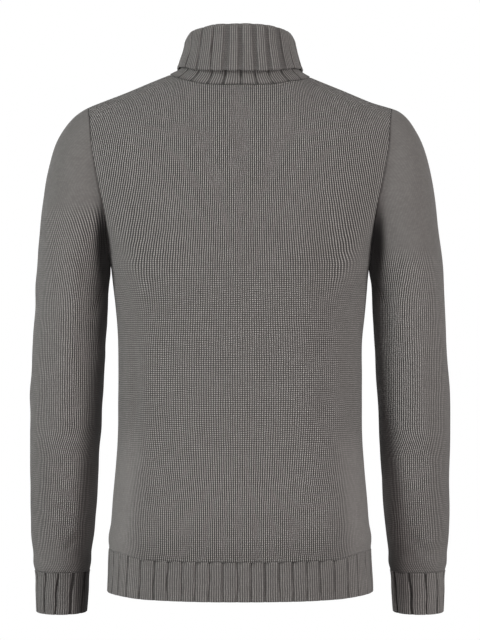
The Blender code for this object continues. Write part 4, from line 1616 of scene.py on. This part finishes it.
# %% Grooves and creases of the collar
# Grooves of the back as angles from its middle, with their half widths in metres and the painted
# shade in each. The wide ones have a plain sunken bottom, with a sharp crease at one wall or at both,
# also given as angles.
COLLAR_GROOVES = [
    Groove(60.0, 0.0013, 0.40),
    Groove(43.9, 0.0012, 0.80),
    Groove(28.4, 0.0012, 0.85),
    Groove(13.6, 0.0041, 0.24),
    Groove(-0.6, 0.0036, 0.24),
    Groove(-14.4, 0.0036, 0.26),
    Groove(-28.7, 0.0032, 0.30),
    Groove(-43.5, 0.0036, 0.32),
    Groove(-60.0, 0.0014, 0.50),
]
HIDDEN_GROOVE_HALF_WIDTH = 0.0024
HIDDEN_GROOVE_SHADE = 0.35
STAND_GROOVE_HALF_WIDTH = 0.0012
SEAM_TICK_WIDTH = 0.0012
COLLAR_CREASES = [15.8, 1.6, -2.7, -12.0, -16.6, -26.4, -31.2, -45.6]
CREASE_HALF_WIDTH = 0.0010
COLLAR_RIBS = 24
CollarMarks = namedtuple("CollarMarks", "groove crown stand_groove groove_shade crease tick")


def collar_marks(place, girth, length_at, turned):
    """Where the grooves, round bands, creases and seam ticks are, each from 0 to 1."""
    seen = sorted(COLLAR_GROOVES)
    seen_at = length_at(np.radians([groove.degrees for groove in seen]))
    grooves = every_turn(all_grooves(seen_at, COLLAR_RIBS, girth), girth)
    half_widths = groove_values(seen, "half_width", HIDDEN_GROOVE_HALF_WIDTH, COLLAR_RIBS)
    shades = groove_values(seen, "shade", HIDDEN_GROOVE_SHADE, COLLAR_RIBS)
    groove, crown = groove_share(place, grooves, np.tile(half_widths, 3))
    stand_groove, _ = groove_share(place, grooves, STAND_GROOVE_HALF_WIDTH)
    tick, _ = groove_share(place, grooves, SEAM_TICK_WIDTH)
    crease, _ = groove_share(place, length_at(np.radians(np.sort(COLLAR_CREASES))), CREASE_HALF_WIDTH)
    groove = groove * turned + stand_groove * (1 - turned)
    groove_shade = shades[nearest_groove(place, grooves, COLLAR_RIBS)]
    return CollarMarks(groove, crown, stand_groove, groove_shade, crease, tick)


# %% Zones of the collar, from its seam to its edge
BIND_OFF_WIDTH = 0.0045
CollarZones = namedtuple("CollarZones", "height turned on_fold bind_off from_edge")


def collar_zones(places, knots):
    height = places[:, None]
    stand_end = knots[FOLD_RING - 1]
    turned = smooth_step(height, stand_end - 0.012, stand_end)
    on_fold = hump(height, knots[FOLD_RING], 0.006)
    from_edge = places[-1] - height
    bind_off = hump(from_edge, BIND_OFF_WIDTH / 2, BIND_OFF_WIDTH / 2, 4)
    return CollarZones(height, turned, on_fold, bind_off, from_edge)


# %% How far the collar's cloth moves
CREASE_DEPTH = 0.0006
BIND_OFF_PROUD = 0.0006
COLLAR_DRAW_IN = 0.0005


def collar_relief(marks, zones, around, seed):
    """Along the normal, which points to the neck on the turned part and away from it on the stand."""
    way = 1.0 * zones.turned - 0.7 * (1 - zones.turned)
    from_seam = smooth_step(zones.height, 0.0, 0.006)
    strength = way * from_seam * (0.65 + 0.35 * smooth_step(zones.from_edge, 0.0, BIND_OFF_WIDTH))
    relief = -rib_relief(marks.groove, marks.crown, strength * (1 - 0.85 * zones.on_fold))
    creased = marks.crease * zones.turned * (1 - zones.on_fold)
    relief += CREASE_DEPTH * creased * smooth_step(zones.from_edge, 0.0, 0.010)
    relief -= 0.0005 * unevenness(around, zones.height, 0.04, seed) * zones.turned
    relief += COLLAR_DRAW_IN * zones.turned
    return relief - BIND_OFF_PROUD * zones.bind_off


# %% Shade of the collar
STAND_SHOWS = 0.0150  # height of the stand that shows below the turned edge
STAND_LIGHT = 0.10
CREASE_SHADE = 0.55
NECK_SEAM_SHADE = 0.45
UNDER_EDGE_SHADE = 0.7
BIND_OFF_STITCH = 0.0036
BIND_OFF_SHADE = 0.48


def collar_shade(marks, zones, around):
    # Painted shade in the grooves and creases, along the neck seam and its ticks, under the turned edge
    # and between the slanted bind-off stitches; painted light on the stand.
    height, turned = zones.height, zones.turned
    shade = np.clip(marks.groove_shade * marks.groove + CREASE_SHADE * marks.crease, 0, 1)
    shade = shade * (1 - 0.7 * zones.on_fold) * (0.3 + 0.7 * turned) - STAND_LIGHT * (1 - turned)
    shade = shade + NECK_SEAM_SHADE * hump(height, 0, 0.0020) + marks.tick * hump(height, 0, 0.0045, 4)
    under_edge = hump(height, STAND_SHOWS, 0.0030) * marks.stand_groove * (1 - turned)
    shade = shade + UNDER_EDGE_SHADE * under_edge
    slanted = np.sin((around + 0.7 * zones.from_edge) * 2 * math.pi / BIND_OFF_STITCH)
    return np.minimum(shade + BIND_OFF_SHADE * zones.bind_off * (0.5 + 0.5 * slanted), 1)


# %% Knit the collar
COLLAR_STEP = 0.0018
COLLAR_POINTS_PER_RIB = 24
BIND_OFF_FLARE = 0.0008


def even_round(count):
    """Angles spaced evenly along the collar's turned edge, their lengths, and any angle's length."""
    fine = np.linspace(-math.pi, math.pi, 4001)
    length = running_length(collar_rings(fine)[-1])
    girth = length[-1]
    places = girth * np.arange(count) / count
    return np.interp(places, length, fine), places, girth, lambda angle: np.interp(angle, fine, length)


def make_collar(seed):
    columns = COLLAR_RIBS * COLLAR_POINTS_PER_RIB
    angles, around, girth, length_at = even_round(columns)
    middle, places, knots = smooth_rows(collar_rings(angles), COLLAR_STEP)
    d_around = np.roll(middle, -1, axis=1) - np.roll(middle, 1, axis=1)
    normals = unit(np.cross(np.gradient(middle, places, axis=0), d_around))
    around = around[None, :]
    zones = collar_zones(places, knots)
    place = around + wander(around, zones.height, 0.0007, seed)
    marks = collar_marks(place, girth, length_at, zones.turned)
    surface = middle + normals * collar_relief(marks, zones, around, seed + 1)[..., None]
    near_edge = 1 - smooth_step(zones.from_edge, 0.0, 0.010)
    surface[..., 2] -= BIND_OFF_FLARE * (marks.crown - marks.groove) * near_edge
    surface = let_shoulders_sag(surface)
    full = np.minimum(fullness(places), fullness(places[-1] - places))[:, None] * np.ones(columns)
    half = normals * (ROLL_RADIUS * full)[..., None]
    across = np.broadcast_to(np.linspace(-girth / 2, girth / 2, columns + 1), (len(places), columns + 1))
    along = np.broadcast_to(zones.height, across.shape)
    shade = collar_shade(marks, zones, around)
    groove = marks.groove
    cloth = Cloth(surface + half, surface - half, across, along, groove, groove, *RIB_GAPS, shade)
    print(f"collar: {girth:.3f} m round, {places[-1]:.3f} m from seam to edge")
    return add_cloth("knit_collar", cloth, True, rib)


collar = make_collar(51)

# %% [markdown]
# ## Attach the pieces
#
# Every piece rides on the sweater's one body and takes the place of its plain wall, which is hidden.
# Each is a sheet of cloth; the table also lists its finish and the size that it was knitted to
# before anybody wore it, though nothing here uses them.

Piece = namedtuple("Piece", "cloth node slot width length area")
PIECES = [
    Piece(back, "back", "jersey", 0.49, 0.64, 0.266),
    Piece(front, "front", "jersey", 0.49, 0.62, 0.262),
    Piece(sleeve_left, "sleeve_left", "jersey", 0.42, 0.60, 0.166),
    Piece(sleeve_right, "sleeve_right", "jersey", 0.42, 0.60, 0.166),
    Piece(collar, "collar", "rib", 0.45, 0.15, 0.064),
    Piece(hem_rib_back, "hem_rib_back", "rib", 0.49, 0.052, 0.0250),
    Piece(hem_rib_front, "hem_rib_front", "rib", 0.48, 0.052, 0.0245),
    Piece(cuff_left, "cuff_left", "rib", 0.225, 0.055, 0.0122),
    Piece(cuff_right, "cuff_right", "rib", 0.225, 0.055, 0.0122),
]

for piece in PIECES:
    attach(piece.cloth, "root")
    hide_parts(piece.node)
print(f"{len(PIECES)} pieces declared")
